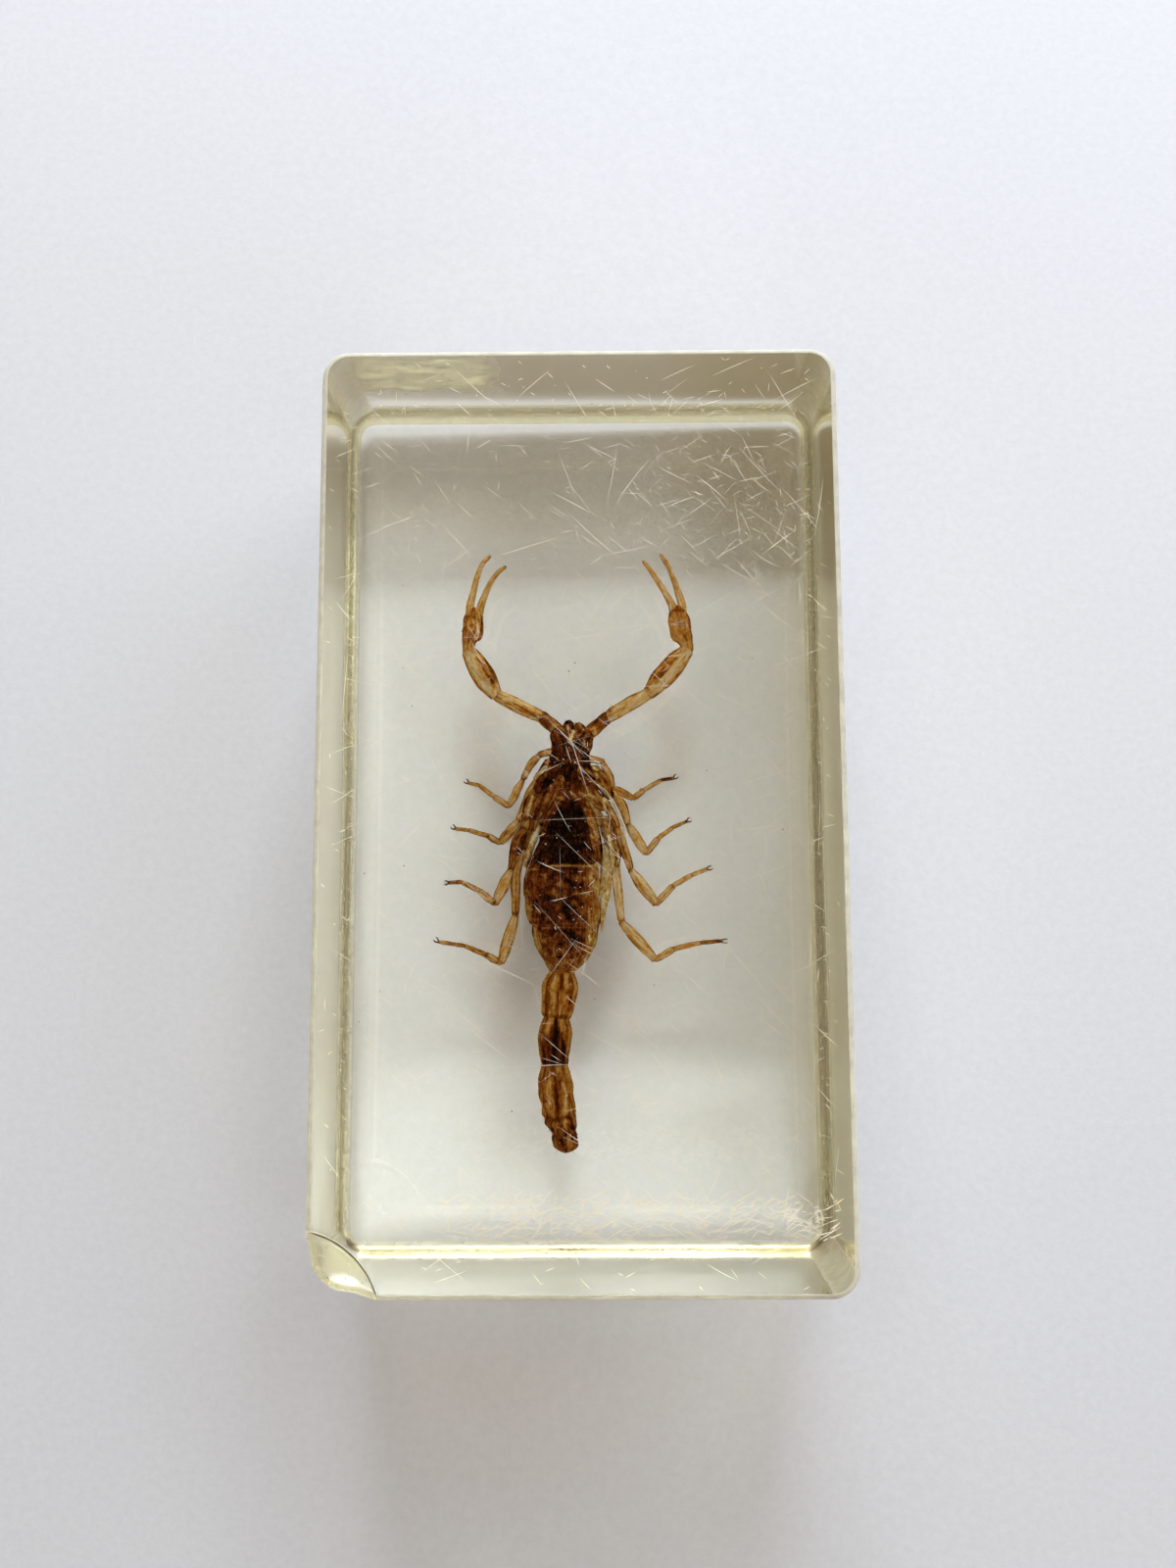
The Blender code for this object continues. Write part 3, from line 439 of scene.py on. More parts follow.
# Colours by tone, from the thick dark core to bare membrane: of the limbs first, then of the belly, which is
# duller and greyer.
CUTICLE_COLOURS = ((0.0, "140A07"), (0.14, "36180D"), (0.30, "72300F"), (0.45, "A05519"), (0.60, "CE8E38"),
                   (0.75, "E8B968"), (0.88, "EED49A"), (1.0, "F4E8C4"))
BELLY_COLOURS = ((0.0, "110A07"), (0.14, "321509"), (0.30, "682D10"), (0.45, "955420"), (0.60, "B98640"),
                 (0.75, "D0AC68"), (0.88, "E4CC92"), (1.0, "F4EACA"))
brown_cuticle = dried_cuticle("dried_brown_cuticle", BELLY_COLOURS, 0.12, 0.28, 0.42)

LUMP_RUNS = {
    "chelicera_left": ((-1.15, 5.90, -0.30, 0.45, 0.45), (-1.15, 6.70, -0.25, 0.56, 0.58),
                       (-1.02, 7.25, -0.15, 0.46, 0.45), (-0.92, 7.62, -0.10, 0.18, 0.20)),
    "chelicera_right": ((-0.05, 5.70, -0.30, 0.45, 0.45), (-0.02, 6.45, -0.25, 0.56, 0.58),
                        (-0.22, 7.00, -0.15, 0.44, 0.45), (-0.42, 7.38, -0.10, 0.18, 0.20)),
    "palp_coxa_left": ((-1.10, 4.40, 1.10, 0.45, 0.40), (-1.45, 5.50, 0.90, 0.72, 0.58),
                       (-1.80, 6.40, 0.50, 0.74, 0.72), (-2.10, 6.92, 0.28, 0.52, 0.52)),
    "palp_coxa_right": ((-0.85, 4.40, 1.10, 0.45, 0.40), (-0.40, 5.30, 0.90, 0.70, 0.58),
                        (0.28, 6.10, 0.50, 0.72, 0.72), (0.80, 6.60, 0.28, 0.52, 0.52)),
    "breastplate": ((-1.02, 3.95, 1.30, 0.25, 0.30), (-1.02, 3.40, 1.42, 0.42, 0.34),
                    (-1.02, 2.60, 1.50, 0.40, 0.30), (-1.02, 2.20, 1.48, 0.22, 0.26)),
    "pecten_left": ((-1.20, 1.55, 1.45, 0.30, 0.30), (-1.80, 0.75, 1.55, 0.38, 0.24),
                    (-2.60, -0.45, 1.30, 0.36, 0.22), (-3.20, -1.70, 0.95, 0.18, 0.14)),
    "pecten_right": ((-0.80, 1.55, 1.45, 0.30, 0.30), (-0.20, 0.75, 1.55, 0.38, 0.24),
                     (0.50, -0.45, 1.30, 0.36, 0.22), (1.15, -1.70, 0.90, 0.18, 0.14)),
    "membrane_right": ((1.75, -2.60, 0.20, 0.30, 0.35), (2.02, -4.20, 0.15, 0.54, 0.42),
                       (1.95, -5.80, 0.10, 0.47, 0.38), (1.85, -7.00, 0.08, 0.40, 0.30),
                       (1.70, -8.30, 0.05, 0.22, 0.20), (1.60, -9.90, 0.00, 0.08, 0.10)),
    "membrane_left": ((-3.50, -1.00, 0.30, 0.18, 0.25), (-3.88, -2.20, 0.25, 0.30, 0.32),
                      (-4.34, -3.40, 0.20, 0.28, 0.32), (-4.58, -4.60, 0.15, 0.18, 0.22)),
}
# Muscle and membrane that fill the flanks between the legs' roots: rows as above, then the tone.
FLANK_RUNS = (
    (((0.95, 3.75, 0.75, 0.35, 0.40), (1.70, 2.40, 0.70, 0.58, 0.50), (2.45, 0.95, 0.55, 0.35, 0.40)), 0.40),
    (((1.72, 1.10, 0.90, 0.22, 0.25), (2.02, 0.50, 0.95, 0.36, 0.34), (2.42, -0.30, 0.85, 0.20, 0.22)), 0.66),
    (((1.75, -0.40, 0.45, 0.40, 0.40), (2.30, -1.80, 0.40, 0.62, 0.50), (2.75, -3.40, 0.25, 0.50, 0.40),
      (2.90, -4.60, 0.10, 0.20, 0.25)), 0.52),
    (((0.45, 0.20, 1.20, 0.35, 0.40), (0.95, -1.60, 1.15, 0.50, 0.50), (1.25, -3.20, 1.05, 0.45, 0.42),
      (1.35, -4.30, 0.90, 0.22, 0.25)), 0.34),
    (((2.25, -1.90, 0.95, 0.14, 0.14), (2.45, -3.10, 0.90, 0.24, 0.20), (2.50, -4.70, 0.75, 0.15, 0.14)),
     0.80),
    (((-2.60, 4.30, 0.70, 0.32, 0.40), (-3.15, 3.00, 0.60, 0.48, 0.48), (-3.70, 1.45, 0.50, 0.38, 0.40)),
     0.28),
    (((-3.80, 1.95, 0.40, 0.30, 0.35), (-4.20, 0.60, 0.40, 0.52, 0.45), (-4.65, -0.85, 0.35, 0.32, 0.35)),
     0.50),
    (((-3.25, 1.30, 0.90, 0.34, 0.35), (-3.75, -0.20, 0.85, 0.46, 0.42), (-4.15, -1.65, 0.70, 0.30, 0.32)),
     0.36),
    (((-4.55, -0.60, 0.30, 0.30, 0.30), (-4.95, -2.10, 0.20, 0.42, 0.40), (-5.30, -3.60, 0.05, 0.30, 0.30)),
     0.46),
    (((-2.85, 2.70, 0.30, 0.26, 0.30), (-3.22, 1.60, 0.25, 0.36, 0.36), (-3.60, 0.30, 0.20, 0.26, 0.30)),
     0.44))

GRAIN_TONES = (0.10, 0.16, 0.22, 0.34, 0.50, 0.72, 0.95)


def add_grains(shell, rings, number, largest, seed):
    """Beads and flakes seated on a limb's skin, each of its own tone."""
    dice = random.Random(seed)
    for _ in range(number):
        ring = rings[dice.randrange(3, len(rings) - 3)]
        spot = ring[dice.randrange(len(ring))]
        outward = unit(spot - ring.mean(axis=0))
        size = dice.uniform(0.35, 1.0) * largest
        root, tip = spot - outward * size * 0.4, spot + outward * size * 0.5
        tone = flat_tone(dice.choice(GRAIN_TONES))
        add_lump(shell, [(*root, size, size), (*tip, size * 0.5, size * 0.5)], 7, tone, 3)


LUMP_TONES = {"chelicera": 0.42, "palp_coxa": 0.33, "breastplate": 0.10, "pecten": 0.30,
              "membrane_right": 0.80, "membrane_left": 0.70}
COXA_HALF_WIDTH = 0.54
COXA_HALF_DEPTH = 0.36
COXA_SHAPE = ((0.0, 0.75), (0.35, 1.0), (0.8, 1.0), (1.0, 0.75))
COXAE = {
    "coxa_left_1": ((-1.40, 4.25, 1.25), (-2.58, 4.72, 0.70), 0.22),
    "coxa_left_2": ((-1.40, 3.55, 1.35), (-2.82, 3.28, 0.85), 0.28),
    "coxa_left_3": ((-1.38, 2.90, 1.42), (-3.36, 0.02, 0.80), 0.42),
    "coxa_left_4": ((-1.30, 2.20, 1.45), (-3.62, -1.10, 0.30), 0.40),
    "coxa_right_1": ((-0.62, 4.25, 1.25), (0.75, 4.15, 0.70), 0.22),
    "coxa_right_2": ((-0.60, 3.50, 1.35), (1.86, 1.98, 0.70), 0.45),
    "coxa_right_3": ((-0.62, 2.85, 1.42), (2.05, 0.12, 0.78), 0.45),
    "coxa_right_4": ((-0.70, 2.20, 1.45), (1.74, -1.15, 0.20), 0.50),
}


def edged_tone(value, edge=0.14):
    """Painted shade: a tone that darkens to a line along both flanks, where the wall is seen edge on from
    above.
    """
    return lambda place, angle, points: value - edge * np.abs(np.cos(angle)) ** 4 + 0.0 * place


def trunk_tone(place, angle, points):
    """Tone of the body plates: near black at the core, red brown at the flanks, a pale seam behind one."""
    x, y = points[..., 0], points[..., 1]
    rows = np.array(BELLY_TONES[::-1])
    tone = np.interp(y, rows[:, 0], rows[:, 1])
    tone = tone + 0.06 * np.sin(5.1 * x + 2.3 * y) * np.sin(3.7 * y - 1.9 * x) * (y < -4.4)
    flank = np.abs(np.cos(angle)) ** 3
    tone = tone + 0.22 * flank * (y < 1.5)
    right_flank = fade_in(x + 0.3, 1.6) * (np.sin(angle) > 0.0)
    tone = tone + 0.20 * right_flank * fade_in(0.5 - y, 1.0)
    seam_y, left, right = SEAM
    tone = tone + 0.26 * ridge(y - seam_y, 0.09) * (x > left) * (x < right) * (np.sin(angle) > 0.2)
    for edge in PLATE_EDGES:
        tone = tone + 0.10 * ridge(y - edge, 0.10)
    back = np.sin(angle) < 0.0
    return np.where(back, 0.22 + 0.10 * flank + 0.10 * ridge(x + 1.3, 0.25), tone)


def trunk_relief(place, angle):
    """Flattened belly and back, with a soft fold along each flank between the two rows of plates."""
    fold = -0.05 * ridge(np.sin(angle), 0.16)
    keel = 0.03 * ridge(angle - 1.5 * math.pi, 0.06)
    return fold + keel + 0.0 * place


trunk_folds = shrivelled("trunk", 0.035, trunk_relief, 60.0)
trunk = new_shell()
rows = smooth_rows(TRUNK_RINGS, TRUNK_STEPS, span=1)
centres = np.stack([(rows[:, 1] + rows[:, 2]) / 2.0, rows[:, 0], np.zeros(len(rows))], axis=1)
rounding = rounded_end(rows[0, 0] - rows[:, 0], 0.5, 0.05)
add_tube(trunk, centres, (rows[:, 2] - rows[:, 1]) / 2.0 * rounding, rows[:, 3] * rounding, TRUNK_SIDES,
         marked(trunk_tone, BELLY_MARKS), trunk_folds, True)
for name, run in LUMP_RUNS.items():
    value = next(value for key, value in LUMP_TONES.items() if name.startswith(key))
    tone = marked(streaked(edged_tone(value), name, 10, 0.26), BELLY_MARKS)
    rings = add_lump(trunk, run, LUMP_SIDES, tone, 12, shrivelled(name, 0.10))
    if name.startswith(("palp_coxa", "chelicera")):
        add_hairs(trunk, rings, 16, 0.55, 0.025, name)
        add_grains(trunk, rings, 40, 0.10, name)
for number, (run, value) in enumerate(FLANK_RUNS):
    seed = "flank" + str(number)
    tone = marked(streaked(edged_tone(value, 0.22), seed, 12, 0.30), BELLY_MARKS)
    add_lump(trunk, run, LUMP_SIDES, tone, 14, shrivelled(seed, 0.10))
for name, (inner, outer, value) in COXAE.items():
    inner, outer = np.array(inner), np.array(outer)
    run = [(*(inner + (outer - inner) * place), COXA_HALF_WIDTH * share, COXA_HALF_DEPTH * share)
           for place, share in COXA_SHAPE]
    tone = marked(streaked(edged_tone(value, 0.2), name, 10, 0.28), BELLY_MARKS)
    add_lump(trunk, run, LUMP_SIDES, tone, 12, shrivelled(name, 0.10))

# The combs behind the breastplate: a row of flat teeth along the rear edge of each.
for side, run in ((-1.0, LUMP_RUNS["pecten_left"]), (1.0, LUMP_RUNS["pecten_right"])):
    spine = smooth_rows(run, 6)
    for root in spine[2:, :3]:
        tip = root + np.array((-side * 0.10, -0.42, 0.02))
        tooth = [(*root, 0.07, 0.05), (*((root + tip) / 2.0), 0.08, 0.05), (*tip, 0.05, 0.04)]
        add_lump(trunk, tooth, 8, flat_tone(0.42), 2)

# The rolled edge of the head shield shows as a pale curved rim past the roots of the right legs.
rim = [(1.27, 2.14, 1.90, 0.05, 0.06), (2.07, 1.49, 1.85, 0.08, 0.07), (2.92, -0.17, 1.40, 0.08, 0.07),
       (3.46, -1.76, 1.20, 0.07, 0.06), (3.55, -2.87, 1.10, 0.04, 0.05)]
add_lump(trunk, rim, 12, streaked(flat_tone(0.86), "rim", 6, 0.3), 14)

# Air left in the cuticle shows as a few bright white specks: painted glints of the light the air mirrors.
for x, y, z, size in ((0.60, -10.05, 1.45, 0.06), (0.75, -10.40, 1.40, 0.05), (-0.50, 3.92, 1.72, 0.07),
                      (-1.45, 4.20, 1.70, 0.06), (-2.25, 2.50, 1.62, 0.06), (-2.50, 2.05, 1.62, 0.05),
                      (-2.20, -0.20, 1.72, 0.06), (-2.90, -2.70, 1.72, 0.08), (0.05, -7.80, 1.86, 0.06)):
    add_lump(trunk, [(x, y - size, z, size * 0.7, size * 0.6), (x, y, z + 0.02, size, size * 0.8),
                     (x, y + size, z, size * 0.6, size * 0.5)], 10, flat_tone(1.15), 4)

# Painted glints: pale flecks, where air and grit caught the light, are scattered over the breast and the
# belly.
dice = random.Random(37)
for _ in range(70):
    ring = dice.randrange(40, len(rows) - 20)
    y, left, right, depth = rows[ring]
    share = dice.uniform(-0.8, 0.8)
    x = (left + right) / 2.0 + (right - left) / 2.0 * share
    z = depth * math.sqrt(1.0 - share * share) + 0.05
    size = dice.uniform(0.018, 0.04)
    add_lump(trunk, [(x, y - size, z, size * 0.7, size * 0.6), (x, y, z + 0.01, size, size * 0.7),
                     (x + size * dice.uniform(-0.5, 0.5), y + size, z, size * 0.5, size * 0.4)],
             6, flat_tone(dice.uniform(0.75, 1.15)), 3)

# Paired eyes on a small mound in the middle of the head shield, on the side that lies down.
for x in (-1.25, -0.65):
    eye = [(x, 4.10, -1.52, 0.10, 0.10), (x, 3.95, -1.60, 0.17, 0.17), (x, 3.80, -1.52, 0.10, 0.10)]
    add_lump(trunk, eye, 16, flat_tone(0.0), 4)

finish_piece(trunk, "scorpion_trunk", brown_cuticle)

# ---------------------------------------------------------------- the tail
# Five horny segments with rows of keels, and the sting: amber cuticle, darker along the keels and at the rear
# edge of each segment. It was curled down and back under itself before the resin set.

TAIL_JOINTS = (
    (-1.62, -13.05, 0.00), (-2.10, -16.50, 0.00), (-2.32, -20.35, -0.05), (-1.98, -24.40, -0.75),
    (-1.38, -26.10, -3.45), (-1.90, -21.50, -4.70))
# For each segment the half width and half depth at its front, middle and rear.
TAIL_SEGMENTS = (
    ((0.95, 0.75), (1.44, 1.05), (1.18, 1.05)), ((1.02, 0.90), (1.32, 1.08), (1.05, 1.08)),
    ((1.05, 0.92), (1.36, 1.10), (1.28, 1.05)), ((1.18, 0.90), (1.15, 1.02), (0.85, 0.85)),
    ((0.80, 0.70), (0.95, 0.88), (0.72, 0.72)))
TAIL_PLACES = (0.10, 0.45, 0.90)
TAIL_PINCH = 0.80
TAIL_SIDES = 80
STING = (
    (-1.90, -21.75, -4.70, 0.40, 0.38), (-1.93, -21.10, -4.62, 0.62, 0.60),
    (-1.97, -20.30, -4.55, 0.78, 0.78), (-2.00, -19.50, -4.45, 0.58, 0.58),
    (-1.98, -18.90, -4.25, 0.28, 0.28), (-1.85, -18.00, -3.95, 0.18, 0.18),
    (-1.70, -17.10, -3.40, 0.06, 0.06))
# Marks on the tail's upper side, as on the belly.
TAIL_MARKS = (
    (-2.70, -14.73, -2.54, -15.90, 0.22, -0.10), (-1.99, -13.96, -1.91, -15.67, 0.11, -0.11),
    (-1.83, -14.03, -1.83, -16.45, 0.05, 0.22), (-0.96, -14.51, -0.88, -16.06, 0.11, -0.11),
    (-1.51, -13.18, -1.59, -14.42, 0.12, -0.08), (-3.17, -16.29, -1.04, -16.53, 0.07, -0.10),
    (-2.07, -16.76, -2.15, -18.30, 0.24, -0.11), (-2.15, -18.15, -2.23, -20.00, 0.52, -0.11),
    (-2.23, -18.46, -1.84, -19.85, 0.24, -0.06), (-1.79, -16.76, -1.76, -19.77, 0.05, 0.18),
    (-3.25, -20.46, -2.08, -21.00, 0.32, -0.04), (-2.55, -21.69, -2.63, -23.37, 0.06, 0.20),
    (-1.61, -21.69, -1.30, -22.76, 0.06, 0.24), (-1.30, -22.76, -1.46, -23.91, 0.06, 0.24),
    (-2.16, -22.07, -2.08, -23.37, 0.13, -0.08), (-2.94, -21.69, -3.02, -22.91, 0.07, -0.08),
    (-3.02, -23.06, -3.02, -23.22, 0.10, -0.10), (-1.06, -22.77, -0.60, -24.37, 0.14, -0.16),
    # In the next row, the first mark, pale at the rear of the fourth segment, is a painted glint.
    (-1.38, -24.67, -1.54, -25.43, 0.10, 0.34), (-2.32, -24.82, -2.24, -25.66, 0.17, 0.08),
    (-0.99, -25.20, -0.53, -26.34, 0.11, -0.07),)
KEEL_COUNT = 8
KEEL_HEIGHT = 0.055
BEADS_TO_A_KEEL = 14.0
# Light passes through the whole tail, so no tone on it falls below this.
DARKEST_TAIL_TONE = 0.16
amber_cuticle = dried_cuticle("dried_amber_cuticle", CUTICLE_COLOURS, 0.40, 0.34, 0.28)


def keel_relief(place, angle):
    """Keels down a segment, each a row of beads that grows towards the rear."""
    crest = np.cos(angle * KEEL_COUNT / 2.0) ** 12
    beads = 0.75 + 0.25 * np.cos(place * 2.0 * math.pi * BEADS_TO_A_KEEL)
    return KEEL_HEIGHT * crest * beads * (fade_in(place, 0.2) * fade_in(1.0 - place, 0.04))


def tail_tone(segment):
    """Tone of one segment: paler between the keels, with dark marks down the flanks and the middle. The
    second segment's dark middle wedge is painted shade, the sting's shadow.
    """
    def tone(place, angle, points):
        value = 0.62 - 0.18 * np.cos(angle * KEEL_COUNT / 2.0) ** 8
        middle = ridge(angle - math.pi / 2.0, 0.28)
        flank = ridge(np.abs(np.cos(angle)) - 0.62, 0.16)
        inside = fade_in(place - 0.12, 0.2) * fade_in(0.92 - place, 0.12)
        if segment == 0:
            value = value - (0.10 * flank + 0.08 * middle) * inside
        if segment == 1:
            # Painted shade: a dark wedge, widening to the rear, where the sting curled beneath shows its
            # shadow through the cuticle.
            width = 0.18 + 1.05 * fade_in(place - 0.12, 0.8)
            wedge = fade_in(width - np.abs(angle - math.pi / 2.0), 0.15)
            value = value - 0.30 * wedge * fade_in(0.97 - place, 0.05)
        if segment == 2:
            value = value - 0.08 * middle * inside
        if segment == 3:
            value = value - 0.12
        return np.maximum(value - 0.15 * fade_in(place - 0.90, 0.06), DARKEST_TAIL_TONE)
    return tone


def add_segment(shell, start, end, rows, sides, tone, relief, tuck, count, reach=0.12):
    """One segment of a limb, through rows of (place, half width, half depth).

    tuck carries it into its neighbours, and reach is the length over which its ends are rounded.
    """
    start, end = np.array(start, float), np.array(end, float)
    ahead = unit(end - start)
    start, end = start - ahead * tuck, end + ahead * tuck * 0.4
    places = 0.5 - 0.5 * np.cos(np.linspace(0.0, math.pi, count))
    fine = smooth_rows(rows, 12, span=1)
    widths = np.interp(places, fine[:, 0], fine[:, 1])
    depths = np.interp(places, fine[:, 0], fine[:, 2])
    lengths = places * np.linalg.norm(end - start)
    shares = rounded_end(lengths, reach, 0.01) * rounded_end(lengths[-1] - lengths, reach, 0.01)
    centres = start + (end - start) * places[:, None]
    return add_tube(shell, centres, widths * shares, depths * shares, sides, tone, relief)


tail = new_shell()
for index, sizes in enumerate(TAIL_SEGMENTS):
    front = (0.0, sizes[0][0] * TAIL_PINCH, sizes[0][1] * TAIL_PINCH)
    rear = (1.0, sizes[2][0] * 0.9, sizes[2][1] * 0.9)
    rows = [front, *[(place, *size) for place, size in zip(TAIL_PLACES, sizes)], rear]
    tone = marked(streaked(tail_tone(index), "tail" + str(index), 20, 0.30), TAIL_MARKS)
    rings = add_segment(tail, TAIL_JOINTS[index], TAIL_JOINTS[index + 1], rows, TAIL_SIDES, tone,
                        shrivelled("tail" + str(index), 0.05, keel_relief, 20.0),
                        0.55 if index == 0 else 0.25, 70, 0.10)
    add_hairs(tail, rings, 14, 0.5, 0.025, "tail" + str(index))
add_lump(tail, STING, TAIL_SIDES, edged_tone(0.40), 8)

# Where the tail turns down, its end is rough: torn membrane, beads of the keels and caught air.
rings = add_lump(tail, [(-1.55, -25.30, -2.60, 0.95, 0.80), (-1.46, -26.40, -2.60, 1.06, 0.80),
                        (-1.42, -27.05, -2.60, 0.98, 0.70), (-1.40, -27.60, -2.60, 0.66, 0.45)], 48,
                 streaked(edged_tone(0.50, 0.2), "turn", 12, 0.6), 12, shrivelled("turn", 0.14))
add_grains(tail, rings, 90, 0.12, "turn")
add_hairs(tail, rings, 26, 0.45, 0.025, "turn")
finish_piece(tail, "scorpion_tail", amber_cuticle)

# ---------------------------------------------------------------- the claw arms
# Two pedipalps: a short root, thigh, swollen upper arm, wrist and palm, and two long fingers with a row of
# dark teeth along their facing edges. Golden cuticle, cleared almost to see-through, set with the trunk.

PALP_JOINTS = {
    "pedipalp_left": ((-2.50, 7.24, 0.15), (-3.20, 7.80, 0.10), (-7.05, 9.72, 0.00), (-9.38, 13.50, 0.00)),
    "pedipalp_right": ((1.20, 6.96, 0.15), (2.05, 7.72, 0.10), (5.60, 9.80, 0.00), (8.90, 13.50, 0.00)),
}
PALP_DEPTH_RATIO = 0.85
PALP_SIDES = 56
# Marks on the arms' upper sides, as on the belly.
PALP_MARKS = {
    "pedipalp_left": (
        (-9.53, 16.35, -8.87, 16.18, 0.10, -0.19), (-8.63, 16.52, -7.57, 19.18, 0.07, -0.08),
        (-7.57, 19.18, -6.35, 20.60, 0.07, -0.08), (-9.12, 16.27, -8.38, 14.93, 0.07, 0.20),
        (-9.35, 12.79, -7.79, 9.81, 0.21, 0.12), (-8.78, 12.95, -7.96, 11.79, 0.24, -0.07),
        (-7.96, 11.87, -7.79, 10.96, 0.14, -0.08), (-7.47, 11.29, -7.22, 9.80, 0.11, -0.15),
        (-9.67, 12.79, -9.18, 11.30, 0.06, -0.14), (-9.18, 11.30, -8.19, 9.65, 0.06, -0.14),
        (-7.79, 10.30, -7.14, 9.39, 0.21, 0.14), (-6.89, 9.39, -6.32, 9.47, 0.11, -0.15),
        (-6.65, 9.72, -5.59, 9.47, 0.09, -0.11), (-6.32, 9.06, -4.86, 8.64, 0.12, -0.10),
        (-4.86, 8.64, -3.64, 7.98, 0.10, -0.09), (-6.08, 8.57, -4.94, 7.99, 0.13, 0.12),
        (-5.11, 9.30, -3.89, 8.64, 0.10, 0.12), (-3.62, 8.34, -2.67, 7.16, 0.45, -0.20),),
    "pedipalp_right": (
        (7.47, 16.74, 8.94, 16.65, 0.09, -0.20), (7.59, 20.08, 7.83, 19.58, 0.10, 0.14),
        (7.92, 13.01, 6.03, 10.79, 0.30, -0.08), (8.32, 12.59, 6.50, 9.89, 0.17, 0.14),
        (8.73, 13.00, 7.90, 11.19, 0.06, -0.15), (7.90, 11.19, 6.66, 9.72, 0.06, -0.15),
        (5.45, 10.39, 5.69, 9.81, 0.12, -0.20), (5.05, 10.22, 4.23, 9.41, 0.10, -0.15),
        (4.23, 9.41, 3.41, 8.51, 0.10, -0.15), (5.04, 9.73, 3.82, 8.59, 0.14, 0.12),
        (2.27, 8.44, 2.35, 8.27, 0.10, -0.22), (3.82, 9.74, 2.52, 8.52, 0.10, 0.10),
        (1.13, 6.81, 1.29, 6.07, 0.16, 0.34), (1.54, 7.20, 2.42, 8.36, 0.40, -0.20),),
}
PALMS = {
    "pedipalp_left": ((-9.40, 13.05, 0.00, 0.48, 0.42), (-9.38, 13.70, 0.00, 0.48, 0.42),
                      (-9.28, 14.40, 0.00, 0.60, 0.52),
                      (-9.06, 14.95, 0.00, 0.84, 0.70), (-8.98, 15.85, 0.00, 0.82, 0.74),
                      (-8.94, 16.55, 0.00, 0.64, 0.56), (-8.96, 17.20, 0.00, 0.42, 0.36)),
    "pedipalp_right": ((8.86, 13.05, 0.00, 0.48, 0.42), (8.84, 13.72, 0.00, 0.48, 0.42),
                       (8.66, 14.35, 0.00, 0.66, 0.55),
                       (8.34, 14.90, 0.00, 0.92, 0.72), (8.18, 15.85, 0.00, 0.86, 0.76),
                       (8.10, 16.60, 0.00, 0.66, 0.58), (8.10, 17.25, 0.00, 0.44, 0.38)),
}
UPPER_ARM_BULGES = {"pedipalp_left": (-7.62, 10.95, 0.45), "pedipalp_right": (6.18, 11.05, 0.45)}
FINGERS = {
    "pedipalp_left": (
        ((-9.20, 16.00, 0.30), (-9.25, 17.10, 0.10), (-9.02, 18.22, 0.05), (-8.74, 19.50, 0.05),
         (-8.27, 20.78, 0.10), (-7.50, 21.55, 0.15)),
        ((-8.60, 15.90, -0.20), (-8.42, 16.94, -0.05), (-8.11, 17.90, -0.05), (-7.64, 19.02, -0.05),
         (-7.01, 19.98, 0.00), (-6.22, 20.66, 0.05))),
    "pedipalp_right": (
        ((8.35, 16.00, 0.30), (8.50, 16.98, 0.10), (8.13, 18.44, 0.05), (7.75, 19.56, 0.05),
         (7.28, 20.67, 0.10), (6.64, 21.60, 0.15)),
        ((7.90, 16.10, -0.20), (7.64, 17.16, -0.05), (7.25, 17.95, -0.05), (6.57, 19.08, -0.05),
         (5.79, 20.30, 0.00), (5.20, 21.05, 0.05))),
}
FINGER_HALF_WIDTHS = (0.38, 0.33, 0.27, 0.22, 0.19, 0.12)
SHORT_SEGMENT = ((0.0, 0.68), (0.15, 0.95), (0.86, 0.85), (1.0, 0.68))
SLENDER_SEGMENT = ((0.0, 0.60), (0.08, 0.80), (0.50, 1.00), (0.92, 0.86), (1.0, 0.72))
FULL_SEGMENT = ((0.0, 0.50), (0.10, 0.66), (0.38, 1.00), (0.68, 0.97), (0.92, 0.70), (1.0, 0.60))
golden_cuticle = dried_cuticle("dried_golden_cuticle", CUTICLE_COLOURS, 0.50, 0.38, 0.32)


def sized(shape, half_width, depth_ratio):
    """Rows of (place, half width, half depth) from a shape's shares."""
    return [(place, half_width * share, half_width * share * depth_ratio) for place, share in shape]


def limb_tone(value, edge=0.38, core=0.0, joint=0.36):
    """Tone of a limb segment: dark lines along the flanks, painted shade where the wall is seen edge on from
    above, with a darker core and darker ends.
    """
    def tone(place, angle, points):
        # Painted shade: the flanks darken where the wall is seen edge on from above.
        flank = ridge(np.abs(np.cos(angle)) - 1.0, 0.17)
        flank = flank * (0.85 + 0.35 * np.sin(place * 47.0 + 3.0 * angle) * np.sin(place * 29.0))
        middle = np.abs(np.sin(angle)) ** 8
        ends = fade_in(0.07 - place, 0.05) + fade_in(place - 0.93, 0.05)
        return value + 0.16 - edge * flank - core * middle * np.sin(place * math.pi) - joint * ends
    return tone


def four_sided(place, angle):
    """A faintly four-sided limb, with a low keel down each flank."""
    return 0.035 * np.cos(angle * 4.0) + 0.0 * place


def limb_relief(seed):
    """A four-sided limb with the folds of its own seed."""
    return shrivelled(seed, 0.075, four_sided)


def upper_arm_tone(inner):
    """Tone of the upper arm: pale gold, with a dark brown wedge of muscle on the inner side."""
    def tone(place, angle, points):
        towards = np.cos(angle) * inner
        wedge = fade_in(towards - 0.02, 0.12) * fade_in(place - 0.16, 0.10) * fade_in(0.80 - place, 0.10)
        # Painted shade: the flanks darken where the wall is seen edge on from above.
        flank = ridge(np.abs(np.cos(angle)) - 1.0, 0.14)
        return 0.84 - 0.20 * wedge - 0.30 * flank
    return tone


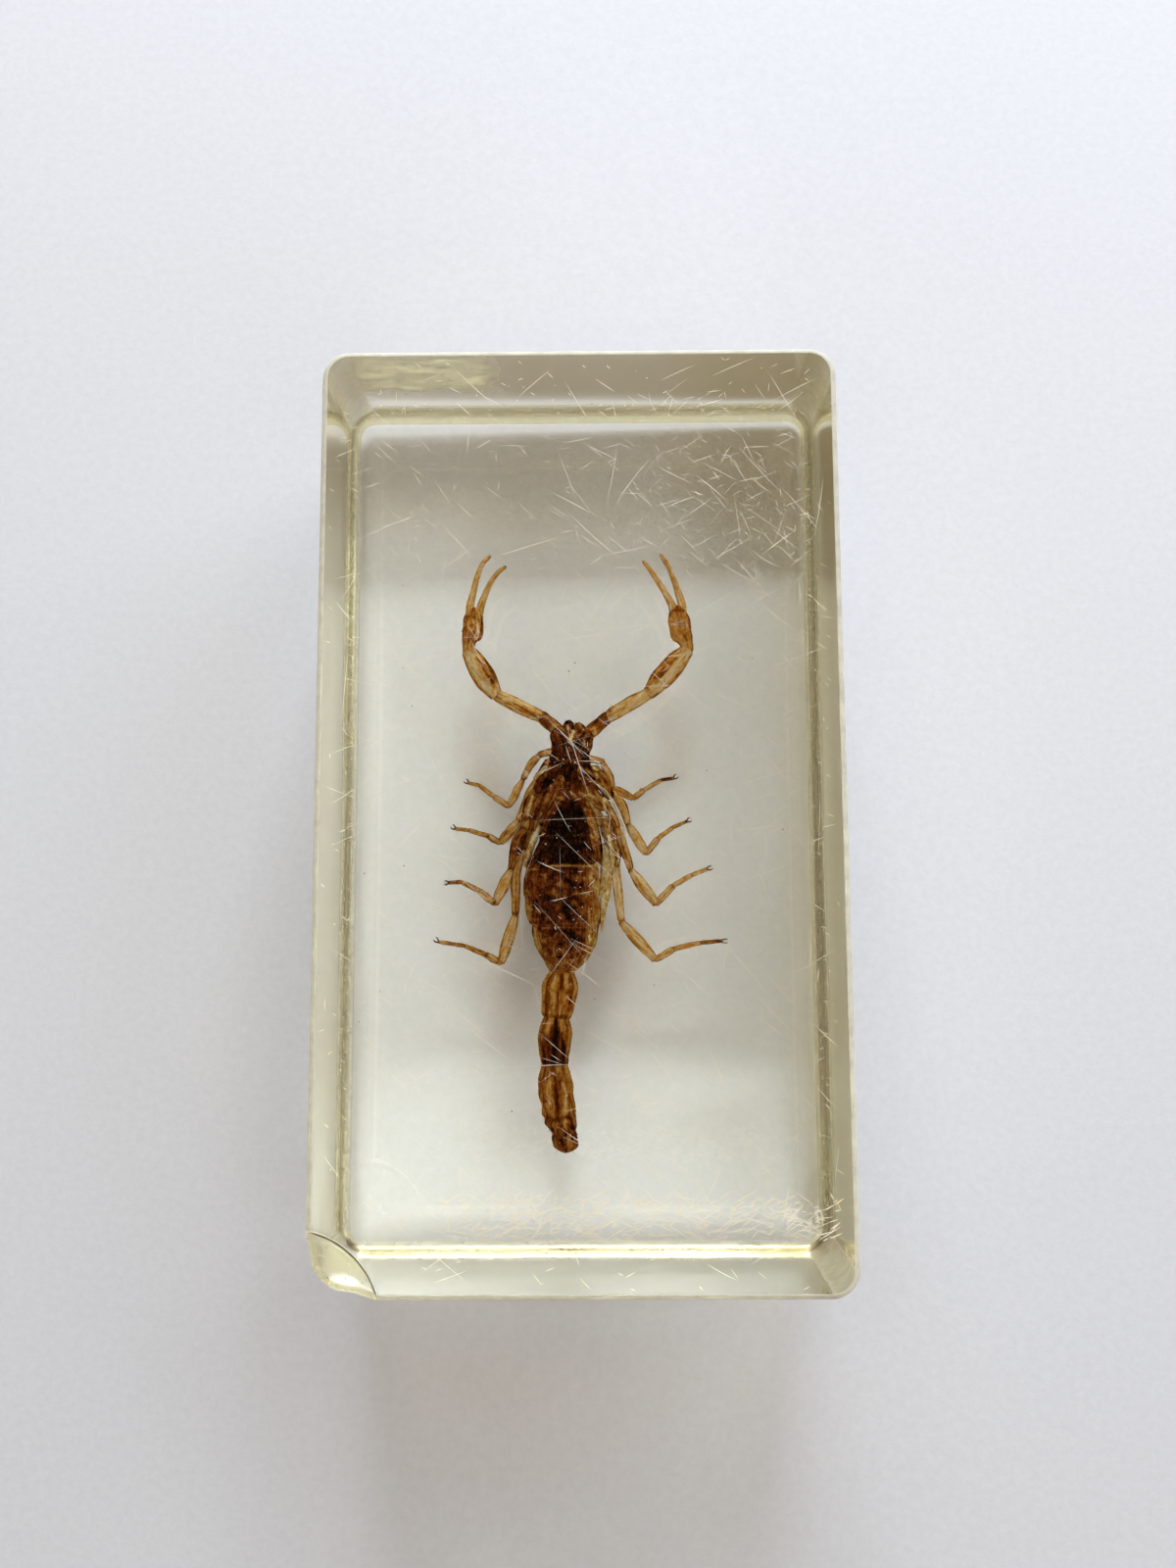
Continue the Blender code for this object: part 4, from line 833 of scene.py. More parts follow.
def palm_tone(inner):
    """Tone of the palm: brown, with a paler swelling on the inner side and a dark joint at the fingers."""
    def tone(place, angle, points):
        towards = np.cos(angle) * inner
        bulge = fade_in(towards - 0.25, 0.3)
        joint = ridge(place - 0.93, 0.05) * (towards < 0.3)
        # Painted shade: the flanks darken where the wall is seen edge on from above.
        edge = ridge(np.abs(np.cos(angle)) - 1.0, 0.12)
        return 0.58 + 0.12 * bulge - 0.14 * joint - 0.20 * edge + 0.10 * (place < 0.25)
    return tone


for name, joints in PALP_JOINTS.items():
    arm = new_shell()
    marks = PALP_MARKS[name]
    inner = 1.0 if name.endswith("left") else -1.0
    # The root, the thigh and the upper arm: shape, half width, tone, strength of its streaks, tuck, grains.
    parts = ((SHORT_SEGMENT, 0.58, limb_tone(0.40, 0.26), 0.50, 0.95, 40),
             (SLENDER_SEGMENT, 0.58, limb_tone(0.70, 0.30, 0.10), 0.60, 0.2, 34),
             (FULL_SEGMENT, 0.90, upper_arm_tone(inner), 0.26, 0.2, 12))
    for index, (shape, half_width, tone, contrast, tuck, grains) in enumerate(parts):
        seed = name + str(index)
        tone = marked(streaked(tone, seed, 14, contrast), marks)
        rings = add_segment(arm, joints[index], joints[index + 1], sized(shape, half_width, PALP_DEPTH_RATIO),
                            PALP_SIDES, tone, limb_relief(seed), tuck, 60)
        add_hairs(arm, rings, 10, 0.45, 0.025, seed)
        add_grains(arm, rings, grains, 0.09, seed)
    x, y, size = UPPER_ARM_BULGES[name]
    bulge = [(x, y - size * 0.8, 0.0, size * 0.6, size * 0.6), (x, y, 0.0, size, size),
             (x, y + size * 0.9, 0.0, size * 0.6, size * 0.6)]
    add_lump(arm, bulge, 32, streaked(flat_tone(0.60), name + "bulge", 6), 8)
    seed = name + "palm"
    tone = marked(streaked(palm_tone(inner), seed, 14, 0.28), marks)
    rings = add_lump(arm, PALMS[name], PALP_SIDES, tone, 12, limb_relief(seed))
    add_hairs(arm, rings, 14, 0.45, 0.025, seed)
    fingers = []
    for number, centres in enumerate(FINGERS[name]):
        seed = name + "finger" + str(number)
        run = [(*centre, size, size) for centre, size in zip(centres, FINGER_HALF_WIDTHS)]
        tone = marked(streaked(limb_tone(0.64, 0.12, 0.0, 0.10), seed, 9, 0.24), marks)
        rings = add_lump(arm, run, 28, tone, 14, limb_relief(seed))
        fingers.append(rings)
        add_hairs(arm, rings, 16, 0.35, 0.022, seed)
    # The teeth, on the side of each finger that faces the other one.
    for own, other in ((0, 1), (1, 0)):
        for ring in range(16, len(fingers[own]) - 6, 2):
            middle = fingers[own][ring].mean(axis=0)
            towards = unit(fingers[other][ring].mean(axis=0) - middle)
            size = np.linalg.norm(fingers[own][ring, 0] - middle)
            root = middle + towards * size * 0.85
            tip = middle + towards * (size + 0.07)
            add_lump(arm, [(*root, 0.045, 0.045), (*tip, 0.02, 0.02)], 6, flat_tone(0.15), 3)
    finish_piece(arm, name, golden_cuticle)

# ---------------------------------------------------------------- the legs
# Eight walking legs, each of a root, a bowed thigh, knee piece, shin and two foot joints with a pair of
# hooked claws: golden cuticle, darker at the joints and the feet. They lie as they dried, with the knees
# lowest, and the resin holds them.

# Each leg runs coxa end, trochanter end, a bow in the femur, femur end, knee, tibia end, basitarsus end,
# claw root, claw tip.
LEG_JOINTS = {
    "leg_left_1": (
        (-2.95, 4.80, 0.65), (-3.31, 4.72, 0.50), (-4.10, 4.02, 0.10), (-4.84, 2.64, -0.20),
        (-5.99, 0.47, -0.45), (-7.26, 1.31, -0.10), (-8.41, 2.20, 0.15), (-9.32, 2.38, 0.30),
        (-9.60, 2.65, 0.25)),
    "leg_left_2": (
        (-3.20, 3.22, 0.80), (-3.62, 2.72, 0.65), (-4.25, 1.40, 0.30), (-5.20, -0.75, -0.15),
        (-6.68, -2.53, -0.45), (-7.65, -1.97, -0.15), (-9.30, -1.48, 0.15), (-10.37, -1.39, 0.30),
        (-10.68, -1.10, 0.20)),
    "leg_left_3": (
        (-3.75, -0.45, 0.80), (-4.46, -1.20, 0.80), (-5.35, -2.45, 0.60), (-5.80, -4.80, 0.35),
        (-7.10, -7.51, -0.30), (-8.36, -6.44, -0.05), (-9.83, -5.72, 0.20), (-10.89, -5.78, 0.30),
        (-11.25, -5.78, 0.20)),
    "leg_left_4": (
        (-4.28, -1.75, -0.35), (-4.75, -2.80, -0.55), (-5.40, -5.20, -0.80), (-5.45, -8.50, -0.60),
        (-6.61, -12.30, -0.60), (-7.84, -11.61, -0.25), (-9.55, -10.87, 0.05), (-11.67, -10.55, 0.20),
        (-12.00, -10.25, 0.10)),
    "leg_right_1": (
        (1.15, 4.20, 0.65), (1.65, 4.10, 0.50), (2.25, 3.00, 0.25), (2.58, 1.95, 0.00), (4.23, 1.07, -0.30),
        (5.13, 1.73, -0.05), (6.55, 2.56, 0.20), (7.63, 2.68, 0.30), (7.90, 2.95, 0.25)),
    "leg_right_2": (
        (2.25, 1.72, 0.55), (2.72, 1.32, 0.40), (3.39, 0.37, 0.20), (3.82, -1.12, 0.00),
        (5.28, -3.48, -0.40), (6.25, -2.22, -0.15), (7.49, -1.32, 0.10), (8.64, -0.85, 0.25),
        (8.98, -0.66, 0.15)),
    "leg_right_3": (
        (2.42, -0.20, 0.85), (2.88, -1.15, 0.90), (3.40, -2.87, 0.70), (3.99, -4.83, 0.40),
        (6.06, -7.59, -0.25), (7.43, -6.11, 0.00), (8.98, -5.23, 0.20), (10.22, -4.78, 0.30),
        (10.66, -4.60, 0.20)),
    "leg_right_4": (
        (2.12, -1.70, -0.30), (2.48, -2.70, -0.45), (2.85, -5.61, -0.50), (3.22, -9.05, -0.50),
        (5.94, -12.09, -0.55), (7.45, -11.20, -0.25), (9.64, -10.72, 0.05), (11.34, -10.57, 0.20),
        (11.82, -10.60, 0.10)),
}
# Half widths of trochanter, femur, patella, tibia, basitarsus, telotarsus.
LEG_HALF_WIDTHS = {
    1: (0.30, 0.32, 0.32, 0.25, 0.20, 0.15), 2: (0.34, 0.36, 0.40, 0.26, 0.20, 0.16),
    3: (0.34, 0.36, 0.44, 0.28, 0.22, 0.17), 4: (0.34, 0.38, 0.44, 0.28, 0.22, 0.17)}
LEG_TONES = {
    "leg_left_1": (0.48, 0.56, 0.62, 0.60, 0.56, 0.52), "leg_left_2": (0.74, 0.58, 0.60, 0.60, 0.58, 0.54),
    "leg_left_3": (0.55, 0.36, 0.64, 0.62, 0.58, 0.40), "leg_left_4": (0.45, 0.60, 0.68, 0.58, 0.55, 0.48),
    "leg_right_1": (0.45, 0.55, 0.56, 0.62, 0.66, 0.42), "leg_right_2": (0.55, 0.60, 0.66, 0.66, 0.60, 0.52),
    "leg_right_3": (0.50, 0.58, 0.72, 0.70, 0.68, 0.66), "leg_right_4": (0.55, 0.80, 0.72, 0.66, 0.60, 0.34)}
# Marks on the legs' upper sides, as on the belly.
LEG_MARKS = {
    "leg_left_1": (
        (-4.61, 2.68, -4.77, 2.36, 0.13, -0.34), (-6.54, 1.32, -6.38, 1.24, 0.08, -0.30),
        (-7.27, 1.40, -7.10, 1.40, 0.07, 0.34), (-7.75, 2.05, -7.91, 2.21, 0.10, -0.20),),
    "leg_left_2": (
        (-2.99, 3.30, -3.79, 2.41, 0.21, 0.10), (-3.47, 2.90, -3.79, 2.41, 0.14, -0.28),
        (-7.47, -2.39, -7.72, -1.91, 0.10, -0.20),),
    "leg_left_3": (
        (-5.55, -2.72, -5.79, -4.55, 0.21, -0.10), (-5.95, -4.95, -6.11, -5.19, 0.10, 0.10),
        (-7.06, -7.32, -7.22, -7.48, 0.12, -0.26), (-10.81, -5.64, -11.05, -5.80, 0.11, -0.36),),
    "leg_left_4": (
        (-5.83, -6.13, -5.34, -8.28, 0.07, -0.20), (-6.69, -11.68, -6.85, -12.23, 0.11, -0.24),
        (-7.64, -11.44, -7.88, -11.91, 0.19, -0.26),),
    "leg_right_1": (
        (2.79, 1.75, 4.24, 1.26, 0.17, -0.16), (6.34, 2.62, 7.31, 2.70, 0.11, -0.30),),
    "leg_right_2": (
        (3.41, -1.39, 4.92, -3.24, 0.10, 0.12), (8.54, -0.86, 8.79, -0.86, 0.08, -0.30),),
    "leg_right_3": (
        (3.24, -2.99, 3.86, -4.99, 0.16, -0.18), (4.10, -5.63, 5.67, -7.23, 0.11, -0.20),
        (4.50, -5.23, 5.92, -6.75, 0.13, 0.14), (7.36, -6.20, 7.20, -6.36, 0.13, -0.26),
        (10.25, -4.71, 10.41, -4.71, 0.08, -0.22),),
    "leg_right_4": (
        (2.73, -8.16, 2.88, -9.27, 0.08, -0.30), (3.67, -10.15, 4.85, -11.18, 0.10, -0.24),
        (4.31, -9.76, 5.80, -11.50, 0.06, -0.24), (10.98, -10.57, 11.46, -10.73, 0.11, -0.34),),
}
# The segments but for the thigh, as (near joint, far joint, shape, place in the rows above).
LEG_RUNS = ((0, 1, SHORT_SEGMENT, 0), (3, 4, FULL_SEGMENT, 2), (4, 5, SLENDER_SEGMENT, 3),
            (5, 6, SHORT_SEGMENT, 4), (6, 7, SHORT_SEGMENT, 5))
LEG_DEPTH_RATIO = 0.85
LEG_SIDES = 32
CLAW_SPREAD = 0.16
CLAW_HALF_WIDTH = 0.07


def bowed_thigh(shell, start, bow, end, half_width, tone, relief):
    """The thigh, curved through its bow."""
    rows = [(*start, half_width * 0.66, half_width * 0.6), (*bow, half_width, half_width * LEG_DEPTH_RATIO),
            (*end, half_width * 0.72, half_width * 0.62)]
    return add_lump(shell, rows, LEG_SIDES, tone, 26, relief)


for name, joints in LEG_JOINTS.items():
    leg = new_shell()
    widths = LEG_HALF_WIDTHS[int(name[-1])]
    tones = LEG_TONES[name]
    joints = [np.array(joint) for joint in joints]
    marks = LEG_MARKS[name]
    thigh = marked(streaked(limb_tone(tones[1]), name + "thigh", 12, 0.28), marks)
    bowed_thigh(leg, joints[1], joints[2], joints[3], widths[1], thigh, limb_relief(name))
    for near, far, shape, pick in LEG_RUNS:
        seed = name + str(pick)
        rows = sized(shape, widths[pick], LEG_DEPTH_RATIO)
        tone = marked(streaked(limb_tone(tones[pick]), seed, 12, 0.28), marks)
        tuck = 0.7 if near == 0 else 0.35 * widths[pick]
        rings = add_segment(leg, joints[near], joints[far], rows, LEG_SIDES, tone, limb_relief(seed),
                            tuck, 40, 0.10)
        add_hairs(leg, rings, 7, 0.30, 0.022, seed)
    ahead = unit(joints[8] - joints[7])
    aside = unit(np.cross(ahead, (0.0, 0.0, 1.0)))
    for sign in (-1.0, 1.0):
        middle = (joints[7] + joints[8]) / 2.0 + aside * sign * CLAW_SPREAD
        tip = joints[8] + aside * sign * CLAW_SPREAD * 0.8 - np.array((0.0, 0.0, 0.08))
        claw = [(*(joints[7] - ahead * 0.1), CLAW_HALF_WIDTH, CLAW_HALF_WIDTH), (*middle, 0.055, 0.055),
                (*tip, 0.02, 0.02)]
        add_lump(leg, claw, 8, flat_tone(0.18), 5)
    finish_piece(leg, name, golden_cuticle)

# ---------------------------------------------------------------- the resin block
# A slab of casting resin, poured in two goes round the scorpion. Its faces are ground flat and polished, its
# arrises and corners rounded by hand and left satin. One top corner is chipped, the resin has yellowed near
# its walls, the polish missed a patch on the wall by the claws, and the top is worn with scratches.

BLOCK_LENGTH = 73.0
BLOCK_WIDTH = 41.0
BLOCK_HEIGHT = 20.0
CORNER_RADIUS = 2.2
# The arrises, as reach and height. Along the long sides the lower one takes only a share of its reach.
TOP_ARRIS = (0.5, 0.5)
BOTTOM_ARRIS = (0.90, 1.50)
SIDE_SHARE = 0.8
CORNER_STEPS = 14
ARRIS_STEPS = 8
SIDE_STEP = 0.5
WALL_LEVELS = 30
# How deep the walls' casting waves are, their cells to a millimetre along x, y and z, and how far from the
# middle the walls are that they draw in.
WAVE_DEPTH = 0.03
WAVE_CELLS = (0.10, 0.10, 0.22)
WAVE_HALVES = (20.0, 36.0)
# The chip: the ball it is cut with, where the block was struck, the height of its ripples and their turn in
# radians to a millimetre, and the box that its broken surface lies in.
CHIP_CENTRE = (-21.6, -38.2, 24.2)
CHIP_RADII = (8.2, 8.2, 7.4)
CHIP_STRUCK = (-20.5, -36.5, 20.0)
CHIP_RIPPLE = 0.035
CHIP_RIPPLE_TURNS = 5.2
CHIP_BOX = ((-20.3, -12.0), (-36.3, -28.0), (15.0, 19.7))
# How much frost the arrises have at the head end, the tail end, the long sides and the top.
HEAD_FROST = 0.10
TAIL_FROST = 0.0
SIDE_FROST = 0.10
TOP_WEAR = 0.5
END_ARRIS_FROM = 34.8
# The places of the block's materials after the clear resin's own, which is 0.
SKIN, FROST, SCRATCH, DIRT = range(1, 5)
# The dull patch on the wall by the claws, as left, right, low and high, with the width of its fading edge.
PATCH = (-19.6, -5.9, 7.0, 19.3)
PATCH_DULLNESS = 1.7
PATCH_ROUNDING = 2.4
PATCH_FADE = 1.8
# Scratches that stand out on the top, as (x0, y0, x1, y1, width). The width is that of the glow round a
# scratch, and its ridge has a share of it.
SCRATCHES = (
    (-19.9, 12.4, 12.1, 14.4, 0.035), (-2.0, -2.0, 1.5, -5.4, 0.05), (-1.7, -6.9, 1.4, -9.8, 0.05),
    (-3.8, -7.0, 0.4, -11.8, 0.03), (-3.9, -1.2, 3.6, -1.0, 0.04), (-2.8, 7.1, 0.6, 3.5, 0.05),
    (-2.4, 6.0, 1.4, 3.9, 0.03), (-1.3, 6.5, 2.2, 2.3, 0.03), (-2.0, 4.5, 1.1, 5.4, 0.025),
    (-0.2, 3.4, 1.7, 3.3, 0.08), (-1.6, -2.9, -1.6, -7.0, 0.03), (-8.8, 14.2, -7.8, 12.7, 0.07),
    (-9.0, 11.9, -7.3, 10.7, 0.05), (7.0, 14.0, 8.3, 14.4, 0.06), (7.0, 14.0, 8.7, 14.0, 0.04),
    (-4.6, -16.6, -1.9, -16.4, 0.05), (-3.2, -18.9, -1.3, -19.5, 0.05), (-3.2, -20.9, -2.0, -20.0, 0.04),
    (-1.4, -24.7, -0.1, -25.3, 0.06), (-6.1, -11.6, -4.6, -11.8, 0.06), (15.7, -31.5, 18.1, -31.5, 0.05),
    (-19.7, 1.6, -17.1, 0.6, 0.06), (-10.8, 30.5, -10.1, 29.5, 0.08), (-14.5, 33.2, -14.5, 32.1, 0.05),
    (7.4, 9.2, 12.7, 5.7, 0.03), (3.7, 20.1, 9.8, 13.8, 0.02), (-11.6, 16.3, -2.4, 9.2, 0.02),
    (0.6, -1.4, 8.0, -5.9, 0.025), (2.0, -8.8, 12.2, -19.1, 0.02), (-11.9, -26.1, -9.0, -25.1, 0.05),
    (-7.0, 9.3, -2.4, 4.7, 0.02), (-3.3, -2.9, -4.5, -5.9, 0.03), (1.4, 9.2, 3.6, 3.1, 0.02),
    (-10.2, -10.3, -5.4, -6.2, 0.03))
RIDGE_SHARE = 0.42
# Fine ones, as (how many, low corner, high corner, shortest, longest, widths, headings): all over the top,
# then over the clear floor by the right claw, then short rubs by the tail end.
HAIRLINES = (
    (900, (-19.8, -35.8), (19.8, 35.8), 0.4, 6.0, (0.024, 0.046), (142.0, 138.0, 20.0)),
    (190, (4.6, 15.3), (18.2, 33.0), 0.5, 3.0, (0.018, 0.036), (142.0, 120.0, 35.0)),
    (560, (-10.4, -32.4), (18.6, -29.3), 0.5, 2.6, (0.045, 0.095), (160.0, 20.0, 35.0)))
# The share of them that follows one of the headings, and how far such a one strays from it, in degrees.
HEADED_SHARE = 0.7
HEADING_STRAY = 9.0
# How far the flat of the top reaches from its middle, and how near the chip's ball it comes.
FLAT_TOP = (19.8, 35.8)
CHIP_CLEARANCE = 8.1
# How high a ridge's foot stands off the top face, and its crest above that.
RIDGE_FOOT = 0.002
RIDGE_CREST = 0.0015
# A dark brown line along the chip's edge, and just outside it a pale line of frayed resin that is a painted
# glint of the edge, as (radius in plan, width, material), and the turns in degrees that they pass through.
CHIP_LINES = ((6.80, 0.09, DIRT), (6.92, 0.06, SCRATCH))
CHIP_ARC = range(17, 79, 3)
# Specks, as (how many, size, material): pale knocks, then dark dirt.
SPECKS = ((420, 0.09, SCRATCH), (26, 0.12, DIRT))
# The yellowed layer's cross-section, as (distance in from the wall, height): thickest half way up.
SKIN_SECTION = ((0.05, 2.0), (0.05, 18.6), (0.65, 15.0), (1.05, 11.0), (1.05, 8.0), (0.65, 4.8))
# How much of the layer each wall has: the left one, the right one, and the two at the ends.
SKIN_SHARES = (1.0, 2.3, 0.5)
# How far under the chip's surface it stays.
SKIN_UNDER_CHIP = 0.25
# The frosted strips along the arrises, as (depth under the arris, thickness): the upper one stands off it.
LOWER_STRIP = (0.02, 0.02)
UPPER_STRIP = (-0.004, -0.004)
# How dull the arrises, the corners, the walls and the chip are, and where the corners and the head end begin.
SATIN_ARRIS = 0.60
SATIN_HEAD_ARRIS = 0.90
SATIN_CORNER = 0.90
SATIN_WALL = 0.08
SATIN_CHIP = 0.50
CORNERS_FROM = (18.1, 34.1)
HEAD_ARRIS_FROM = 33.0
HEAD_WALL_FROM = 35.0


def block_outline(inset, step, side_share=1.0):
    """The rounded rectangle in plan, drawn in by an inset, which the long sides take a share of."""
    half_x = BLOCK_WIDTH / 2.0 - inset * side_share
    half_y = BLOCK_LENGTH / 2.0 - inset
    radius = CORNER_RADIUS - inset
    corners = []
    for sign_x, sign_y, start in ((1, 1, 0.0), (-1, 1, 90.0), (-1, -1, 180.0), (1, -1, 270.0)):
        turns = [math.radians(start + 90.0 * index / CORNER_STEPS) for index in range(CORNER_STEPS + 1)]
        corners.append([(sign_x * (half_x - radius) + radius * math.cos(turn),
                         sign_y * (half_y - radius) + radius * math.sin(turn)) for turn in turns])
    outline = []
    for index, corner in enumerate(corners):
        outline.extend(corner)
        (x0, y0), (x1, y1) = corner[-1], corners[(index + 1) % 4][0]
        cuts = max(1, round((BLOCK_WIDTH if index % 2 == 0 else BLOCK_LENGTH) / step))
        outline.extend((x0 + (x1 - x0) * cut / cuts, y0 + (y1 - y0) * cut / cuts) for cut in range(1, cuts))
    return outline


def arris_levels(arris, depth=0.0):
    """Steps of (inset, drop) along an arris's curve, or at a depth under it, from the face to the wall."""
    reach, height = arris
    levels = []
    for step in range(ARRIS_STEPS + 1):
        angle = math.radians(90.0 * step / ARRIS_STEPS)
        across, down = math.sin(angle) / reach, math.cos(angle) / height
        length = math.hypot(across, down)
        levels.append((reach * (1.0 - math.sin(angle)) + depth * across / length,
                       height * (1.0 - math.cos(angle)) + depth * down / length))
    return levels


def join_loops(shell, loops, closed):
    """Faces between neighbouring loops of points."""
    pairs = list(zip(loops, loops[1:]))
    if closed:
        pairs.append((loops[-1], loops[0]))
    for near, far in pairs:
        for index in range(len(near)):
            after = (index + 1) % len(near)
            shell.faces.new((near[index], near[after], far[after], far[index])).smooth = True


def mesh_object(shell, name):
    """An object of the shell's mesh, in no collection yet."""
    mesh = bpy.data.meshes.new(name)
    shell.to_mesh(mesh)
    shell.free()
    return bpy.data.objects.new(name, mesh)


def block_body():
    """The block in one closed mesh. Its walls wave faintly, as cast resin does, and never bulge outwards."""
    levels = [(inset, drop, SIDE_SHARE) for inset, drop in arris_levels(BOTTOM_ARRIS)]
    low, high = BOTTOM_ARRIS[1], BLOCK_HEIGHT - TOP_ARRIS[1]
    levels += [(0.0, low + (high - low) * step / WALL_LEVELS, 1.0) for step in range(1, WALL_LEVELS)]
    levels += [(inset, BLOCK_HEIGHT - drop, 1.0) for inset, drop in reversed(arris_levels(TOP_ARRIS))]
    shell = bmesh.new()
    loops = []
    (cells_x, cells_y, cells_z), (half_x, half_y) = WAVE_CELLS, WAVE_HALVES
    for inset, z, side_share in levels:
        wave = [WAVE_DEPTH * (0.5 + 0.5 * noise.noise(Vector((x * cells_x, y * cells_y, z * cells_z))))
                for x, y in block_outline(0.0, SIDE_STEP)]
        wave = [depth * min(1.0, z / 2.0, (BLOCK_HEIGHT - z) / 2.0) for depth in wave]
        places = [(x * (1.0 - depth / half_x), y * (1.0 - depth / half_y), z)
                  for (x, y), depth in zip(block_outline(inset, SIDE_STEP, side_share), wave)]
        loops.append([shell.verts.new(Vector(place) * MM) for place in places])
    join_loops(shell, loops, False)
    shell.faces.new(list(reversed(loops[0]))).smooth = False
    shell.faces.new(loops[-1]).smooth = False
    bmesh.ops.recalc_face_normals(shell, faces=shell.faces)
    return mesh_object(shell, "block_body")


def chip_cutter():
    """The shell-shaped break, with ripples that ring the point where the block was struck."""
    shell = bmesh.new()
    bmesh.ops.create_icosphere(shell, subdivisions=6, radius=1.0)
    for vert in shell.verts:
        place = Vector([centre + radius * axis
                        for centre, radius, axis in zip(CHIP_CENTRE, CHIP_RADII, vert.co)])
        reach = (place - Vector(CHIP_STRUCK)).length
        ripple = CHIP_RIPPLE * math.sin(reach * CHIP_RIPPLE_TURNS) + 0.03 * noise.noise(place * 1.3)
        vert.co = (place + vert.co.normalized() * ripple) * MM
    for face in shell.faces:
        face.smooth = True
    return mesh_object(shell, "chip_cutter")


def chipped(body, cutter):
    """The body's mesh with the chip taken off."""
    for piece in (body, cutter):
        bpy.context.scene.collection.objects.link(piece)
    cut = body.modifiers.new("chip", "BOOLEAN")
    cut.operation = "DIFFERENCE"
    cut.solver = "EXACT"
    cut.object = cutter
    bpy.context.view_layer.update()
    mesh = bpy.data.meshes.new_from_object(body.evaluated_get(bpy.context.evaluated_depsgraph_get()))
    for piece in (body, cutter):
        bpy.data.objects.remove(piece, do_unlink=True)
    return mesh


def satin_at(x, y, z):
    """How dull the surface is: 0 on the polished faces, most on the corners, a little on the walls."""
    in_chip_box = all(low < value < high for value, (low, high) in zip((x, y, z), CHIP_BOX))
    if in_chip_box and abs(math.dist((x, y, z), CHIP_CENTRE) - CHIP_RADII[0]) < 1.0:
        return SATIN_CHIP
    if z < 0.02 or z > BLOCK_HEIGHT - 0.02:
        return 0.0
    if z < BOTTOM_ARRIS[1] * 0.9 or z > BLOCK_HEIGHT - TOP_ARRIS[1] * 0.9:
        return SATIN_ARRIS if y < HEAD_ARRIS_FROM else SATIN_HEAD_ARRIS
    along_x, along_y = (max(0.0, min(1.0, abs(value) - start)) for value, start in zip((x, y), CORNERS_FROM))
    dull = SATIN_WALL + (SATIN_CORNER - SATIN_WALL) * (along_x * along_y)
    if y < HEAD_WALL_FROM:
        return dull
    left, right, low, high = PATCH
    ragged = 1.1 * noise.noise(Vector((x * 0.45, z * 0.45, 3.0)))
    across = min(x - left, right - x) + ragged
    up = min(z - low, high - z) + ragged
    rounding = PATCH_ROUNDING
    inside = rounding - math.hypot(min(0.0, across - rounding), min(0.0, up - rounding))
    mottle = 0.8 + 0.25 * noise.noise(Vector((x * 0.3 + z * 0.2, z * 0.5 - x * 0.1, 8.0)))
    return max(dull, PATCH_DULLNESS * mottle * max(0.0, min(1.0, inside / PATCH_FADE)))


def chip_floor(x, y):
    """How high the chip's surface stands over a spot, or the top of the block where there is no chip."""
    across = ((x - CHIP_CENTRE[0]) / CHIP_RADII[0]) ** 2 + ((y - CHIP_CENTRE[1]) / CHIP_RADII[1]) ** 2
    return min(BLOCK_HEIGHT, CHIP_CENTRE[2] - CHIP_RADII[2] * math.sqrt(max(0.0, 1.0 - across)))


def add_band(shell, section, index, step, shape):
    """A closed band round the block, stopped at the chip if it lies on the top.

    Its section is points of (inset, height), and shape turns x, y, inset and height to a place.
    """
    rows = [block_outline(inset, step) for inset, _ in section]
    spots = [spot for spot in range(len(rows[0])) if max(z for _, z in section) < BLOCK_HEIGHT - 1.0
             or chip_floor(*rows[0][spot]) > BLOCK_HEIGHT - 0.01]
    gap = next((spot for spot in range(1, len(spots)) if spots[spot] > spots[spot - 1] + 1), 0)
    spots = spots[gap:] + spots[:gap]
    stations = [[shell.verts.new(Vector(shape(*rows[point][spot], *section[point])) * MM)
                 for point in range(len(section))] for spot in spots]
    kept = len(shell.faces)
    join_loops(shell, stations, gap == 0)
    if gap:
        shell.faces.new(stations[0])
        shell.faces.new(stations[-1])
    shell.faces.ensure_lookup_table()
    band = shell.faces[kept:]
    bmesh.ops.recalc_face_normals(shell, faces=band)
    for face in band:
        face.material_index = index
        face.smooth = index != SKIN


def skin_shape(x, y, inset, z):
    """Thin or thicken the yellowed layer by the wall it belongs to, and keep it under the chip."""
    left, right, ends = SKIN_SHARES
    side = BLOCK_WIDTH / 2.0 - inset
    end = BLOCK_LENGTH / 2.0 - inset
    share = left if x < 0.0 else right
    x, y = x * (side + inset * (1.0 - share)) / side, y * (end + inset * (1.0 - ends)) / end
    return x, y, min(z, chip_floor(x, y) - SKIN_UNDER_CHIP - 0.05 * inset)


def arris_strip(arris, sunk, thickness):
    """The closed section of a thin strip along an arris's curve, as (inset, drop), at a depth under it."""
    return arris_levels(arris, sunk) + arris_levels(arris, sunk + thickness)[::-1]


def frost_shape(x, y, inset, z):
    """Draw the frosted strip's long sides out to the narrower arris there."""
    side = BLOCK_WIDTH / 2.0 - inset
    return x * (side + inset * (1.0 - SIDE_SHARE)) / side, y, z


